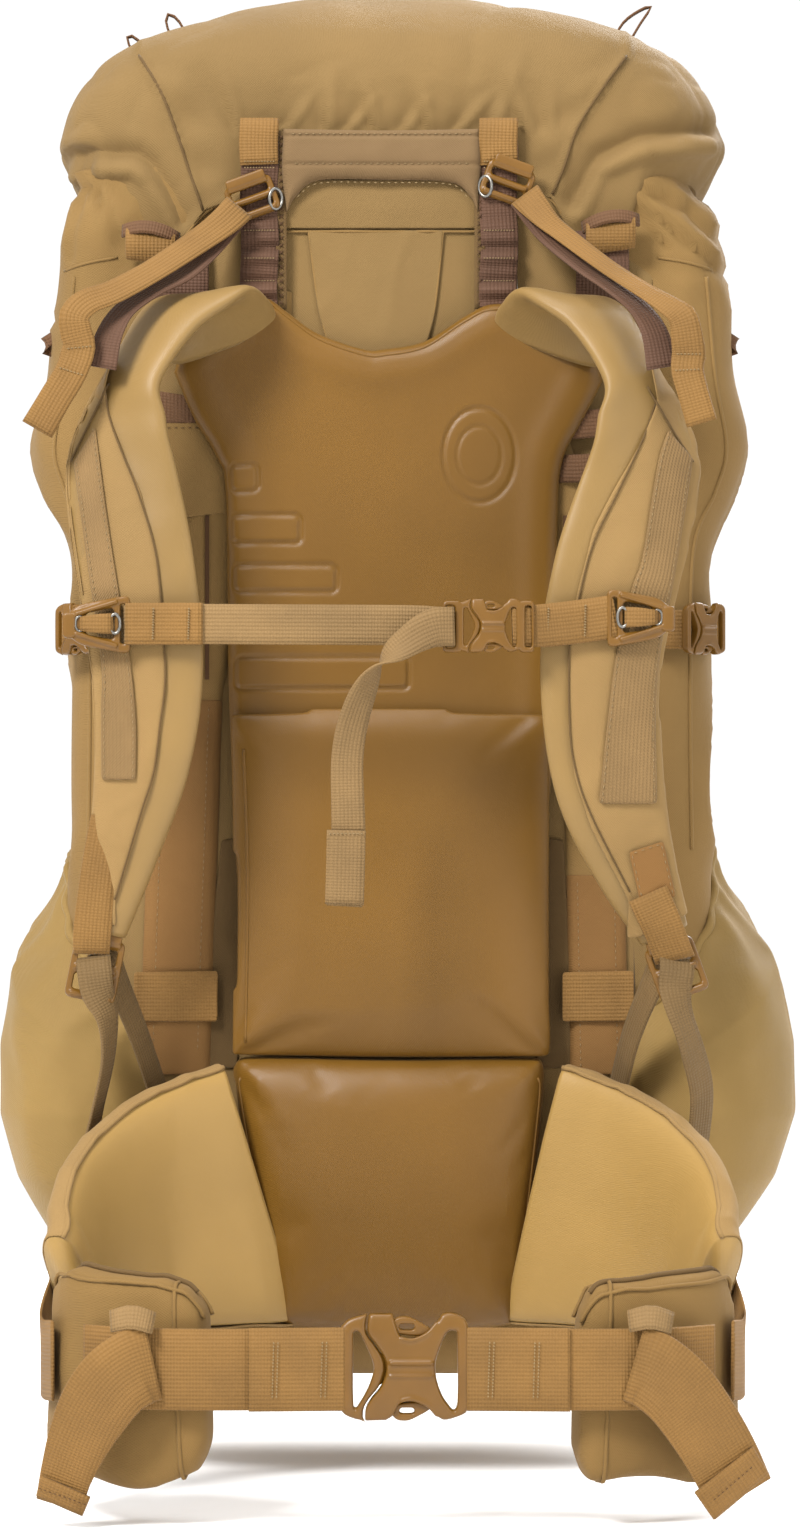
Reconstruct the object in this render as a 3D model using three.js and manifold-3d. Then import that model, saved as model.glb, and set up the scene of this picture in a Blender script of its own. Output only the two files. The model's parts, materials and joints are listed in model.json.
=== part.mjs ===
// A large hunting backpack with a load-carrying frame and a full harness.
// Units are millimetres and +Z is up. The wearer's side faces -Y and the bag's front faces +Y.
// The origin is under the grab handle's grip, where a hand or a hook carries the pack.

import * as THREE from 'three';
import { mergeVertices } from 'three/addons/utils/BufferGeometryUtils.js';
import Module from 'manifold-3d';

const wasm = await Module();
wasm.setup();

// ---- Driving dimensions ----

const GAP = 0.4; // clearance between pieces that touch
const SEAM_GAP = 2.2; // clearance between the bag's walls at their seams
const FABRIC = 3; // laminated bag wall
const STRETCH = 2; // stretch pocket wall
const BAG_BACK = 10; // the bag's rear wall, in Y
const BAG_FLOOR = -770; // underside of the bag, in Z
const WEB_WIDE = 49; // hip belt webbing
const WEB_NARROW = 25; // sternum and lifter webbing
const WEB_THICK = 1.8;
const STAY_TOP_X = 77; // the stays splay from here...
const STAY_BOTTOM_X = 137; // ...to here
const STAY_TOP_Z = 34;
const STAY_BOTTOM_Z = -573;
const BELT_CENTRE = 9; // the closed buckle sits a little off the middle
const BELT_Z = -737; // middle of the belt webbing at the buckle
const BELT_Y = -232; // middle of the buckle's thickness

const LEFT = -1;
const RIGHT = 1;
const SIDES = [['left', LEFT], ['right', RIGHT]];

// ---- Materials ----

function finish(colour, roughness) {
  return new THREE.MeshStandardMaterial({ color: colour, roughness, metalness: 0 });
}

const NYLON = finish('#b08d57', 0.85);
const STRETCH_CLOTH = finish('#be9a5b', 0.7);
const FACING = finish('#a37a40', 0.6);
const STRAP_CLOTH = finish('#b8955f', 0.75);
const WEBBING = finish('#a07a4c', 0.8);
const SLEEVE_CLOTH = finish('#9b7049', 0.8);
const PLASTIC = finish('#8f6a3c', 0.4);
const SHEET_PLASTIC = finish('#3a332b', 0.5);
const STAY_METAL = new THREE.MeshStandardMaterial({ color: '#9a9c9e', roughness: 0.4, metalness: 0.9 });

// ---- The pack, as named meshes ----

const pack = new THREE.Group();

function add(name, geometry, material) {
  const mesh = new THREE.Mesh(geometry, material);
  mesh.name = name;
  pack.add(mesh);
  return mesh;
}

function point(x, y, z) {
  return new THREE.Vector3(x, y, z);
}

// ---- Closed bodies from points ----

// Collects points and triangles; the finished body always faces out.
class Body {
  constructor() {
    this.points = [];
    this.faces = [];
  }

  grid(rows) {
    return rows.map((row) => row.map((p) => this.points.push(p) - 1));
  }

  quad(a, b, c, d) {
    this.faces.push([a, b, c], [a, c, d]);
  }

  // Joins neighbouring rows; a loop also joins each row's last point to its first.
  skin(rows, loop, flip = false) {
    const count = rows[0].length;
    for (let i = 0; i + 1 < rows.length; i += 1) {
      for (let j = 0; j < (loop ? count : count - 1); j += 1) {
        const k = (j + 1) % count;
        const corners = [rows[i][j], rows[i][k], rows[i + 1][k], rows[i + 1][j]];
        this.quad(...(flip ? corners.reverse() : corners));
      }
    }
  }

  fan(row, centre, flip) {
    const hub = this.points.push(centre) - 1;
    row.forEach((a, j) => {
      const b = row[(j + 1) % row.length];
      this.faces.push(flip ? [hub, b, a] : [hub, a, b]);
    });
  }

  geometry() {
    let volume = 0;
    for (const [a, b, c] of this.faces) {
      const [p, q, r] = [this.points[a], this.points[b], this.points[c]];
      volume += p.dot(q.clone().cross(r));
    }
    const faces = volume < 0 ? this.faces.map(([a, b, c]) => [a, c, b]) : this.faces;
    const body = new THREE.BufferGeometry();
    body.setFromPoints(this.points);
    body.setIndex(faces.flat());
    body.computeVertexNormals();
    return body;
  }
}

function middle(row) {
  const sum = row.reduce((total, p) => total.add(p), point(0, 0, 0));
  return sum.divideScalar(row.length);
}

// A solid through a stack of equal rings, closed by a fan at each end.
function loft(rings) {
  const body = new Body();
  const rows = body.grid(rings);
  body.skin(rows, true);
  body.fan(rows[0], middle(rings[0]), true);
  body.fan(rows[rows.length - 1], middle(rings[rings.length - 1]), false);
  return body.geometry();
}

// A wall between two equal grids of points.
function wall(outer, inner) {
  const body = new Body();
  const out = body.grid(outer);
  const back = body.grid(inner);
  const last = out.length - 1;
  const end = out[0].length - 1;
  body.skin(out, false);
  body.skin(back, false, true);
  body.skin([back[0], out[0]], false);
  body.skin([out[last], back[last]], false);
  body.skin([out.map((row) => row[0]), back.map((row) => row[0])], false);
  body.skin([back.map((row) => row[end]), out.map((row) => row[end])], false);
  return body.geometry();
}

// A tube with open ends, between outer and inner rings.
function tube(outer, inner) {
  const body = new Body();
  const out = body.grid(outer);
  const hole = body.grid(inner);
  const last = out.length - 1;
  body.skin(out, true);
  body.skin(hole, true, true);
  body.skin([hole[0], out[0]], true);
  body.skin([out[last], hole[last]], true);
  return body.geometry();
}

// An open cap: outer rings up to a peak, and inner rings up to a lower peak.
function cap(outer, peak, inner, innerPeak) {
  const body = new Body();
  const out = body.grid(outer);
  const hole = body.grid(inner);
  body.skin(out, true);
  body.skin(hole, true, true);
  body.skin([hole[0], out[0]], true);
  body.fan(out[out.length - 1], peak, false);
  body.fan(hole[hole.length - 1], innerPeak, true);
  return body.geometry();
}

// A flat piece: an outline of [x, z] points, or a Shape, from yBack to yFront (the lower Y).
function plate(outline, yBack, yFront, bevel = 0) {
  const shape = outline instanceof THREE.Shape
    ? outline
    : new THREE.Shape(outline.map(([x, z]) => new THREE.Vector2(x, z)));
  const body = new THREE.ExtrudeGeometry(shape, {
    depth: yBack - yFront - 2 * bevel,
    bevelEnabled: bevel > 0,
    bevelThickness: bevel,
    bevelSize: bevel,
    bevelOffset: -bevel,
    bevelSegments: 1,
    curveSegments: 3,
  });
  body.rotateX(Math.PI / 2);
  body.translate(0, yBack - bevel, 0);
  return body;
}

function roundedRect(halfWidth, halfHeight, radius, x = 0, z = 0) {
  const shape = new THREE.Shape();
  const quarter = Math.PI / 2;
  const corners = [[1, 1, 0], [-1, 1, 1], [-1, -1, 2], [1, -1, 3]];
  for (const [sx, sz, turn] of corners) {
    const cx = x + sx * (halfWidth - radius);
    const cz = z + sz * (halfHeight - radius);
    shape.absarc(cx, cz, radius, turn * quarter, (turn + 1) * quarter, false);
  }
  shape.closePath();
  return shape;
}

// ---- Straps and pads ----

const FLAT = [[-0.5, -0.5], [0.5, -0.5], [0.5, 0.5], [-0.5, 0.5]];
const PADDED = [
  [-0.5, -0.2], [-0.4, -0.5], [0.4, -0.5], [0.5, -0.2],
  [0.5, 0.2], [0.4, 0.5], [-0.4, 0.5], [-0.5, 0.2],
];

// Rings along a route of stations { at, across, width, thick }.
function rings(stations, section, steps) {
  const route = new THREE.CatmullRomCurve3(stations.map((s) => point(...s.at)));
  const turn = new THREE.CatmullRomCurve3(stations.map((s) => point(...s.across).normalize()));
  const size = new THREE.CatmullRomCurve3(stations.map((s) => point(s.width, s.thick, 0)));
  const result = [];
  for (let i = 0; i <= steps; i += 1) {
    const t = i / steps;
    const at = route.getPoint(t);
    const along = route.getTangent(t);
    const across = turn.getPoint(t);
    across.addScaledVector(along, -across.dot(along)).normalize();
    const normal = along.clone().cross(across);
    const { x: width, y: thick } = size.getPoint(t);
    result.push(section.map(([u, v]) => at.clone()
      .addScaledVector(across, u * width)
      .addScaledVector(normal, v * thick)));
  }
  return result;
}

function pad(stations, steps) {
  return loft(rings(stations, PADDED, steps));
}

// Webbing through a list of { at, across } stations, of one width.
function webbing(stations, width, steps) {
  const full = stations.map((s) => ({ width, thick: WEB_THICK, ...s }));
  return loft(rings(full, FLAT, steps));
}

// ---- Joining and cutting ----

function toSolid(geometry) {
  const bare = geometry.index ? geometry.clone() : geometry;
  bare.deleteAttribute('normal');
  bare.deleteAttribute('uv');
  const merged = mergeVertices(bare, 1e-4);
  return new wasm.Manifold(new wasm.Mesh({
    numProp: 3,
    vertProperties: new Float32Array(merged.attributes.position.array),
    triVerts: new Uint32Array(merged.index.array),
  }));
}

function toGeometry(solid) {
  const mesh = solid.getMesh();
  const body = new THREE.BufferGeometry();
  body.setAttribute('position', new THREE.BufferAttribute(mesh.vertProperties, 3));
  body.setIndex(new THREE.BufferAttribute(mesh.triVerts, 1));
  body.computeVertexNormals();
  return body;
}

function boxAt(x, y, z, sizeX, sizeY, sizeZ) {
  const body = new THREE.BoxGeometry(sizeX, sizeY, sizeZ);
  body.translate(x, y, z);
  return body;
}

// ---- The bag: a lofted open-top shell in four walls and a floor ----

// Heights of the bag with its half width, rear and front there.
const BAG_LEVELS = [
  { z: 0, half: 196, back: BAG_BACK, front: 264 },
  { z: -40, half: 214, back: BAG_BACK, front: 276 },
  { z: -80, half: 217, back: BAG_BACK, front: 284 },
  { z: -125, half: 224, back: BAG_BACK, front: 290 },
  { z: -170, half: 233, back: BAG_BACK, front: 294 },
  { z: -205, half: 222, back: BAG_BACK, front: 296 },
  { z: -250, half: 206, back: BAG_BACK, front: 297 },
  { z: -400, half: 207, back: BAG_BACK, front: 298 },
  { z: -560, half: 207, back: BAG_BACK, front: 298 },
  { z: -660, half: 204, back: BAG_BACK, front: 292 },
  { z: -720, half: 196, back: BAG_BACK, front: 280 },
  { z: -752, half: 182, back: BAG_BACK + 4, front: 262 },
  { z: -765.6, half: 168, back: BAG_BACK + 16, front: 244 },
];
const REAR_RADIUS = 34;
const FRONT_RADIUS_X = 92;
const FRONT_RADIUS_Y = 70;
const FRONT_FACE_X = 112; // half width of the flat front face

function levelAt(levels, z) {
  const below = levels.findIndex((level) => level.z <= z);
  if (below <= 0) {
    return levels[below < 0 ? levels.length - 1 : 0];
  }
  const [high, low] = [levels[below - 1], levels[below]];
  const t = (high.z - z) / (high.z - low.z);
  const mix = (key) => high[key] + (low[key] - high[key]) * t;
  return { z, half: mix('half'), back: mix('back'), front: mix('front') };
}

// One side wall's outline at a level: s runs 0..1 from the rear corner to the front face.
function sidePoint(level, s, side) {
  const rear = 0.22;
  const front = 0.58;
  const { half, back, front: far, z } = level;
  let x = half;
  let y = 0;
  if (s < rear) {
    const a = (s / rear) * Math.PI / 2;
    x = half - REAR_RADIUS * (1 - Math.sin(a));
    y = back + REAR_RADIUS * (1 - Math.cos(a));
  } else if (s < front) {
    const t = (s - rear) / (front - rear);
    y = back + REAR_RADIUS + t * (far - FRONT_RADIUS_Y - back - REAR_RADIUS);
  } else {
    const a = ((s - front) / (1 - front)) * Math.PI / 2;
    x = half - (half - FRONT_FACE_X) * (1 - Math.cos(a));
    y = far - FRONT_RADIUS_Y * (1 - Math.sin(a));
  }
  return point(side * x, y, z);
}

// Points of a bag wall from its rows of outline points, moved inward by an offset.
function offsetRows(rows, offset) {
  return rows.map((row, i) => row.map((p, j) => {
    const up = rows[Math.max(i - 1, 0)][j];
    const down = rows[Math.min(i + 1, rows.length - 1)][j];
    const left = row[Math.max(j - 1, 0)];
    const right = row[Math.min(j + 1, row.length - 1)];
    const normal = up.clone().sub(down).cross(right.clone().sub(left)).normalize();
    return p.clone().addScaledVector(normal, offset);
  }));
}

const SIDE_STOPS = [0.002, 0.07, 0.15, 0.22, 0.4, 0.58, 0.69, 0.8, 0.9, 0.998];

for (const [name, side] of SIDES) {
  const rows = BAG_LEVELS.map((level) => SIDE_STOPS.map((s) => sidePoint(level, s, side)));
  add(`bag_${name}_side`, wall(rows, offsetRows(rows, side * FABRIC)), NYLON);
}

function acrossRow(half, y, z, stops) {
  return stops.map((u) => point(u * half, y, z));
}

const BACK_STOPS = [-1, -0.5, 0, 0.5, 1];
const backOuter = BAG_LEVELS.map((l) => acrossRow(l.half - REAR_RADIUS - SEAM_GAP, l.back, l.z, BACK_STOPS));
const backInner = backOuter.map((row) => row.map((p) => point(p.x, p.y + FABRIC, p.z)));
add('bag_back_panel', wall(backOuter, backInner), NYLON);

const frontOuter = BAG_LEVELS.map((l) => acrossRow(FRONT_FACE_X - SEAM_GAP, l.front, l.z, BACK_STOPS));
const frontInner = frontOuter.map((row) => row.map((p) => point(p.x, p.y - FABRIC, p.z)));
add('bag_front_panel', wall(frontOuter, frontInner), NYLON);

const floorLevel = BAG_LEVELS[BAG_LEVELS.length - 1];
const floorShape = new THREE.Shape();
SIDE_STOPS.forEach((s, i) => {
  const p = sidePoint(floorLevel, s, RIGHT);
  floorShape[i === 0 ? 'moveTo' : 'lineTo'](p.x, p.y);
});
[...SIDE_STOPS].reverse().forEach((s) => {
  const p = sidePoint(floorLevel, s, LEFT);
  floorShape.lineTo(p.x, p.y);
});
const floor = new THREE.ExtrudeGeometry(floorShape, { depth: 4, bevelEnabled: false });
floor.translate(0, 0, BAG_FLOOR);
add('bag_floor', floor, NYLON);

// ---- Stretch pockets on both sides, open at their gathered rims ----

const POCKET_LEVELS = [
  { z: -442, bulge: 10 }, { z: -470, bulge: 20 }, { z: -510, bulge: 38 }, { z: -555, bulge: 47 },
  { z: -600, bulge: 48 }, { z: -640, bulge: 36 }, { z: -675, bulge: 16 }, { z: -694, bulge: 1 },
];
const POCKET_GAP = 2.4; // the pocket's edge stands this far off the bag's faceted wall
const POCKET_STOPS = [0.12, 0.22, 0.31, 0.4, 0.49, 0.58, 0.7, 0.8];

function pocketRows(side, fullness, lift) {
  return POCKET_LEVELS.map(({ z, bulge }) => POCKET_STOPS.map((s) => {
    const p = sidePoint(levelAt(BAG_LEVELS, z), s, side);
    const u = (2 * (s - POCKET_STOPS[0])) / (POCKET_STOPS[POCKET_STOPS.length - 1] - POCKET_STOPS[0]) - 1;
    const out = lift + bulge * fullness * (1 - u ** 4);
    const nose = Math.max(0, (s - 0.58) / 0.22);
    p.x += side * out * Math.cos(nose * 0.9);
    p.y += out * Math.sin(nose * 0.9);
    if (s < 0.22) {
      p.y -= lift * 0.7;
    }
    return p;
  }));
}

for (const [name, side] of SIDES) {
  const fullness = side === LEFT ? 0.98 : 1.16;
  const outer = pocketRows(side, fullness, STRETCH + POCKET_GAP);
  const inner = pocketRows(side, fullness, POCKET_GAP);
  add(`side_pocket_${name}`, wall(outer, inner), STRETCH_CLOTH);
}

// ---- Front pocket with its zip slider ----

const FRONT_POCKET = { halfX: 100, high: -150, low: -600, deep: 28 };
const BULGE_STOPS = [-1, -0.92, -0.75, -0.4, 0, 0.4, 0.75, 0.92, 1];

function frontPocketRows(lift) {
  const { halfX, high, low, deep } = FRONT_POCKET;
  return BULGE_STOPS.map((v) => BULGE_STOPS.map((u) => {
    const z = (high + low) / 2 - (v * (high - low)) / 2;
    const dome = (1 - u ** 6) * (1 - v ** 12);
    const y = levelAt(BAG_LEVELS, z).front + GAP * 2 + lift + deep * dome;
    return point(u * halfX, y, z);
  }));
}

add('front_pocket', wall(frontPocketRows(STRETCH + 1), frontPocketRows(0)), NYLON);

const SLIDER = { wide: 9, high: 13, thick: 4, pull: 26 };

// A zip slider: its body with a flat pull hanging from it, lying in an upright plane.
function zipSlider() {
  const { wide, high, pull } = SLIDER;
  const shape = new THREE.Shape();
  shape.moveTo(-wide / 2, high / 2);
  shape.lineTo(wide / 2, high / 2);
  shape.lineTo(wide / 2, -high / 2);
  shape.lineTo(wide / 4, -high / 2);
  shape.lineTo(wide / 3, -pull);
  shape.lineTo(-wide / 3, -pull);
  shape.lineTo(-wide / 4, -high / 2);
  shape.lineTo(-wide / 2, -high / 2);
  return plate(shape, SLIDER.thick, 0);
}

const FRONT_SLIDER = point(62, 330, -190); // top of the zip's straight run
add('front_zip_slider', zipSlider(), PLASTIC).position.copy(FRONT_SLIDER);

// ---- Lid: a domed cap over the bag with a floor that closes its pocket ----

const LID_LEVELS = [
  { z: 8, half: 204, back: 8, front: 294 },
  { z: 34, half: 213, back: 8, front: 304 },
  { z: 60, half: 204, back: 9, front: 302 },
  { z: 85, half: 182, back: 18, front: 292 },
  { z: 105, half: 150, back: 40, front: 270 },
  { z: 120, half: 106, back: 74, front: 240 },
  { z: 129, half: 58, back: 112, front: 204 },
];
const LID_PEAK = 132;
const LID_WALL = 3.5;

function lidRing({ z, half, back, front }, inset, drop) {
  const deep = front - back;
  const radius = Math.min(60, half * 0.6, deep * 0.4) - inset;
  const ring = [];
  const centres = [[1, -1, -0.5], [1, 1, 0], [-1, 1, 0.5], [-1, -1, 1]];
  for (const [sx, sy, start] of centres) {
    for (let i = 0; i <= 3; i += 1) {
      const a = (start + i / 6) * Math.PI;
      const cx = sx * (half - inset - radius);
      const cy = (back + front) / 2 + sy * (deep / 2 - inset - radius);
      ring.push(point(cx + radius * Math.cos(a), cy + radius * Math.sin(a), z - drop));
    }
  }
  return ring;
}

const lidOuter = LID_LEVELS.map((level) => lidRing(level, 0, 0));
const lidInner = LID_LEVELS.map((level, i) => lidRing(level, LID_WALL, i < 2 ? 0 : LID_WALL));
const lidMiddleY = (LID_LEVELS[6].back + LID_LEVELS[6].front) / 2;
const lidPeak = point(0, lidMiddleY, LID_PEAK);
const lidInnerPeak = point(0, lidMiddleY, LID_PEAK - LID_WALL);
add('lid_shell', cap(lidOuter, lidPeak, lidInner, lidInnerPeak), NYLON);

const lidFloorRing = lidRing(LID_LEVELS[0], LID_WALL + 1, 0);
const lidFloor = new THREE.ExtrudeGeometry(
  new THREE.Shape(lidFloorRing.map((p) => new THREE.Vector2(p.x, p.y))),
  { depth: 2, bevelEnabled: false },
);
lidFloor.translate(0, 0, LID_LEVELS[0].z + 1);
add('lid_floor', lidFloor, NYLON);

const LID_SLIDER = point(-80, 305.5, 52); // left end of the lid's zip
add('lid_zip_slider', zipSlider(), PLASTIC).position.copy(LID_SLIDER);

// ---- Lid buckles: the male halves hang from the lid and pull out upwards ----

const LID_BUCKLE = { x: 92, y: 304, wide: 32, thick: 9, mouthZ: -46, tongue: 20 };

function lidBuckleMale() {
  const { wide, mouthZ, tongue } = LID_BUCKLE;
  const bar = roundedRect(wide / 2, 13, 3, 0, mouthZ + 15);
  bar.holes.push(roundedRect(wide / 2 - 4, 3, 1.5, 0, mouthZ + 20));
  const body = toSolid(plate(bar, 3, -3));
  const prong = toSolid(boxAt(0, 0, mouthZ - tongue / 2 + 3, wide - 12, 3.4, tongue + 6));
  return toGeometry(body.add(prong));
}

function lidBuckleFemale() {
  const { wide, thick, mouthZ, tongue } = LID_BUCKLE;
  const shape = roundedRect(wide / 2, 21, 4, 0, mouthZ - 21);
  shape.holes.push(roundedRect(wide / 2 - 5, 3, 1.5, 0, mouthZ - 36));
  const body = toSolid(plate(shape, thick / 2, -thick / 2));
  const cavity = toSolid(boxAt(0, 0, mouthZ - tongue / 2, wide - 9, 6.4, tongue + 4));
  return toGeometry(body.subtract(cavity));
}

for (const [name, side] of SIDES) {
  const { x, y } = LID_BUCKLE;
  add(`lid_buckle_male_${name}`, lidBuckleMale(), PLASTIC).position.set(side * x, y, 0);
  add(`lid_buckle_female_${name}`, lidBuckleFemale(), PLASTIC).position.set(side * x, y, 0);
}

// ---- Side compression: a strap round each side wall and its ladder-lock at the rear ----

const SIDE_STRAP_Z = -289;
const SIDE_STRAP_STOPS = [0.19, 0.22, 0.4, 0.58, 0.65, 0.72, 0.8];

function sideStrapRows(side, lift) {
  return [WEB_NARROW / 2, -WEB_NARROW / 2].map((dz) => SIDE_STRAP_STOPS.map((s) => {
    const p = sidePoint(levelAt(BAG_LEVELS, SIDE_STRAP_Z + dz), s, side);
    const nose = Math.max(0, (s - 0.58) / 0.42) * Math.PI / 2;
    p.x += side * lift * Math.cos(nose);
    p.y += lift * Math.sin(nose);
    return p;
  }));
}

// A ladder-lock: a frame with a fixed end bar, a middle bar and two slots, upright in XZ.
function ladderLock(wide, high, thick) {
  const shape = roundedRect(wide / 2, high / 2, 4);
  const slotHigh = (high - 3 * 6) / 2;
  for (const dz of [-1, 1]) {
    shape.holes.push(roundedRect(wide / 2 - 5, slotHigh / 2, 1.5, 0, dz * (slotHigh / 2 + 3)));
  }
  return plate(shape, thick / 2, -thick / 2);
}

for (const [name, side] of SIDES) {
  add(`side_strap_${name}`, wall(sideStrapRows(side, 2.6), sideStrapRows(side, 0.8)), WEBBING);
  const lock = add(`side_buckle_${name}`, ladderLock(34, 42, 6), PLASTIC);
  lock.position.set(side * 202, 9, SIDE_STRAP_Z);
  lock.rotation.set(0, Math.PI / 2, side * 0.87, 'ZYX');
}

// ---- Frame: plastic sheet, splayed stays in sleeves, webbing ladders on their tops ----

const SHEET_BACK = 8.6;
const SHEET_FRONT = 7.2;
const SHEET_TOP = -32;
const SHEET_FLOOR = -660;

add('frame_sheet', plate([
  [-100, SHEET_FLOOR], [100, SHEET_FLOOR], [160, -600], [150, -300], [100, -60], [90, SHEET_TOP],
  [-90, SHEET_TOP], [-100, -60], [-150, -300], [-160, -600],
], SHEET_BACK, SHEET_FRONT), SHEET_PLASTIC);

const STAY_Y = 3.6;

function stayX(z) {
  const t = (STAY_TOP_Z - z) / (STAY_TOP_Z - STAY_BOTTOM_Z);
  return STAY_TOP_X + t * (STAY_BOTTOM_X - STAY_TOP_X);
}

function stayStations(side, zHigh, zLow, width, thick) {
  return [zHigh, (zHigh + zLow) / 2, zLow].map((z) => (
    { at: [side * stayX(z), STAY_Y, z], across: [1, 0, 0], width, thick }
  ));
}

const SLEEVE_TOP = -86;

for (const [name, side] of SIDES) {
  const stay = rings(stayStations(side, 26, STAY_BOTTOM_Z + 4, 25, 2.4), FLAT, 2);
  add(`stay_${name}`, loft(stay), STAY_METAL);
  const outside = stayStations(side, SLEEVE_TOP, STAY_BOTTOM_Z, 40, 6);
  const inside = stayStations(side, SLEEVE_TOP, STAY_BOTTOM_Z, 28, 3.6);
  add(`stay_sleeve_${name}`, tube(rings(outside, FLAT, 2), rings(inside, FLAT, 2)), SLEEVE_CLOTH);
  const ladderAt = side === LEFT ? [-83, -81] : [70, 76];
  const ladder = [[34, ladderAt[0]], [-30, (ladderAt[0] + ladderAt[1]) / 2], [-82, ladderAt[1]]];
  add(`ladder_${name}`, webbing(ladder.map(([z, x]) => (
    { at: [x, -1.2, z], across: [1, 0, 0] }
  )), 27, 2), WEBBING);
}

// ---- Grab handle: a padded grip over a finger gap ----

const handle = new THREE.Shape();
handle.moveTo(-67, 28);
handle.lineTo(-67, -22);
handle.lineTo(-59, -22);
handle.lineTo(-42, -2);
handle.quadraticCurveTo(-5, 2, 34, -2);
handle.lineTo(50, -20);
handle.lineTo(56, -20);
handle.lineTo(56, 28);
handle.quadraticCurveTo(-5, 34, -67, 28);
add('grab_handle', plate(handle, -2.4, -9.4, 1.5), NYLON);

// ---- Back pads ----

const LOWER_PAD = roundedRect(104, 110, 10, 1.5, -451);
add('lower_back_pad', plate(LOWER_PAD, -11, -25, 3), FACING);

add('lumbar_pad', plate([
  [-98, -566], [-99, -590], [-76, -718], [84, -718], [98, -590], [97, -566],
], -0.8, -42, 8), FACING);

// ---- Yoke: slides up and down behind the lower pad to fit the torso ----

const yoke = new THREE.Shape();
yoke.moveTo(-4, -110);
yoke.splineThru([[22, -105], [48, -89], [67, -80], [100, -86], [130, -108], [136, -130]].map(
  ([x, z]) => new THREE.Vector2(x, z),
));
yoke.splineThru([[121, -158], [110, -180], [107, -215]].map(([x, z]) => new THREE.Vector2(x, z)));
yoke.lineTo(106, -335);
yoke.lineTo(98, -445);
yoke.lineTo(-98, -445);
yoke.lineTo(-103, -335);
yoke.lineTo(-104, -215);
yoke.splineThru([[-110, -178], [-125, -154], [-138, -125]].map(([x, z]) => new THREE.Vector2(x, z)));
yoke.splineThru([[-130, -102], [-105, -82], [-81, -76], [-66, -85], [-46, -100], [-4, -110]].map(
  ([x, z]) => new THREE.Vector2(x, z),
));
add('yoke', plate(yoke, -3.2, -10.2, 1.5), FACING);

// ---- Shoulder straps: from the yoke over a crest and down the wearer's front ----

const STRAP_THICK = 13;

function strapStations(list) {
  return list.map(([x, y, z, width, turn]) => (
    { at: [x, y, z], across: [Math.cos(turn), Math.sin(turn), 0], width, thick: STRAP_THICK }
  ));
}

// Each station is the strap's centre, its width there and how far its outer edge turns back.
const LEFT_STRAP = strapStations([
  [-110, -18.5, -158, 52, 0], [-111, -24, -112, 58, 0], [-115, -42, -79, 62, -0.1],
  [-138, -63, -97, 58, -0.5], [-158, -76, -135, 60, -0.7], [-168, -85, -192, 72, -0.3],
  [-159, -92, -250, 75, -0.15], [-151, -92, -315, 70, -0.1], [-154, -88, -372, 60, -0.1],
  [-166, -78, -428, 44, -0.1], [-180, -70, -480, 30, 0],
]);
const RIGHT_STRAP = strapStations([
  [108, -18.5, -158, 52, 0], [108, -24, -112, 58, 0], [108, -42, -79, 62, 0.1],
  [132, -63, -97, 58, 0.5], [150, -76, -135, 58, 0.7], [158, -85, -195, 75, 0.3],
  [141, -92, -255, 79, 0.15], [131, -92, -315, 75, 0.1], [136, -88, -385, 68, 0.1],
  [153, -78, -440, 50, 0.1], [172, -70, -482, 32, 0],
]);
add('shoulder_strap_left', pad(LEFT_STRAP, 26), STRAP_CLOTH);
add('shoulder_strap_right', pad(RIGHT_STRAP, 26), STRAP_CLOTH);

// ---- Ladder-locks at the straps' ends and the webbing that pulls through them ----

const strapLockLeft = add('strap_ladder_lock_left', ladderLock(32, 40, 5), PLASTIC);
strapLockLeft.position.set(-185, -70, -504);
strapLockLeft.rotation.set(0, 0.2, 0);
const strapLockRight = add('strap_ladder_lock_right', ladderLock(32, 36, 5), PLASTIC);
strapLockRight.position.set(180, -70, -504);
strapLockRight.rotation.set(0, -0.35, 0);

add('lower_webbing_left', webbing([
  { at: [-171, -54, -505], across: [0.9, 0, 0.35] },
  { at: [-160, -36, -545], across: [0.9, 0, 0.35] },
  { at: [-150, -10, -584], across: [0.9, 0, 0.3] },
], WEB_NARROW, 6), WEBBING);
add('lower_webbing_right', webbing([
  { at: [164, -54, -505], across: [0.9, 0, -0.35] },
  { at: [152, -36, -545], across: [0.9, 0, -0.35] },
  { at: [144, -10, -584], across: [0.9, 0, -0.3] },
], WEB_NARROW, 6), WEBBING);

// ---- Load lifters: from the ladders' buckles down to the straps' crests ----

const lifterLockLeft = add('load_lifter_buckle_left', ladderLock(30, 24, 4), PLASTIC);
lifterLockLeft.position.set(-88, -5.2, -14);
lifterLockLeft.rotation.set(0, -0.35, 0);
const lifterLockRight = add('load_lifter_buckle_right', ladderLock(30, 24, 4), PLASTIC);
lifterLockRight.position.set(75, -5.2, -4);
lifterLockRight.rotation.set(0, 0.35, 0);

add('load_lifter_left', webbing([
  { at: [-102, -15, -32], across: [0.8, 0, 0.6] },
  { at: [-125, -44, -55], across: [0.7, 0.2, 0.7] },
  { at: [-155, -74, -84], across: [0.7, 0.3, 0.6] },
  { at: [-174, -90, -115], across: [0.9, 0.2, 0.4] },
], 22, 8), WEBBING);
add('load_lifter_right', webbing([
  { at: [88, -12, -20], across: [0.8, 0, -0.6] },
  { at: [114, -44, -48], across: [0.7, -0.2, -0.7] },
  { at: [146, -74, -80], across: [0.7, -0.3, -0.6] },
  { at: [165, -90, -112], across: [0.9, -0.2, -0.4] },
], 22, 8), WEBBING);

// ---- Sternum strap: sliders on both shoulder straps, webbing and a side-release buckle ----

const STERNUM_Z = -288;
const STERNUM_Y = -104;

function sternumSlider(halfWide, halfHigh) {
  const shape = roundedRect(halfWide, halfHigh, 5);
  shape.holes.push(roundedRect(halfWide - 8, halfHigh - 7, 3));
  return plate(shape, 2.5, -2.5);
}

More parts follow.
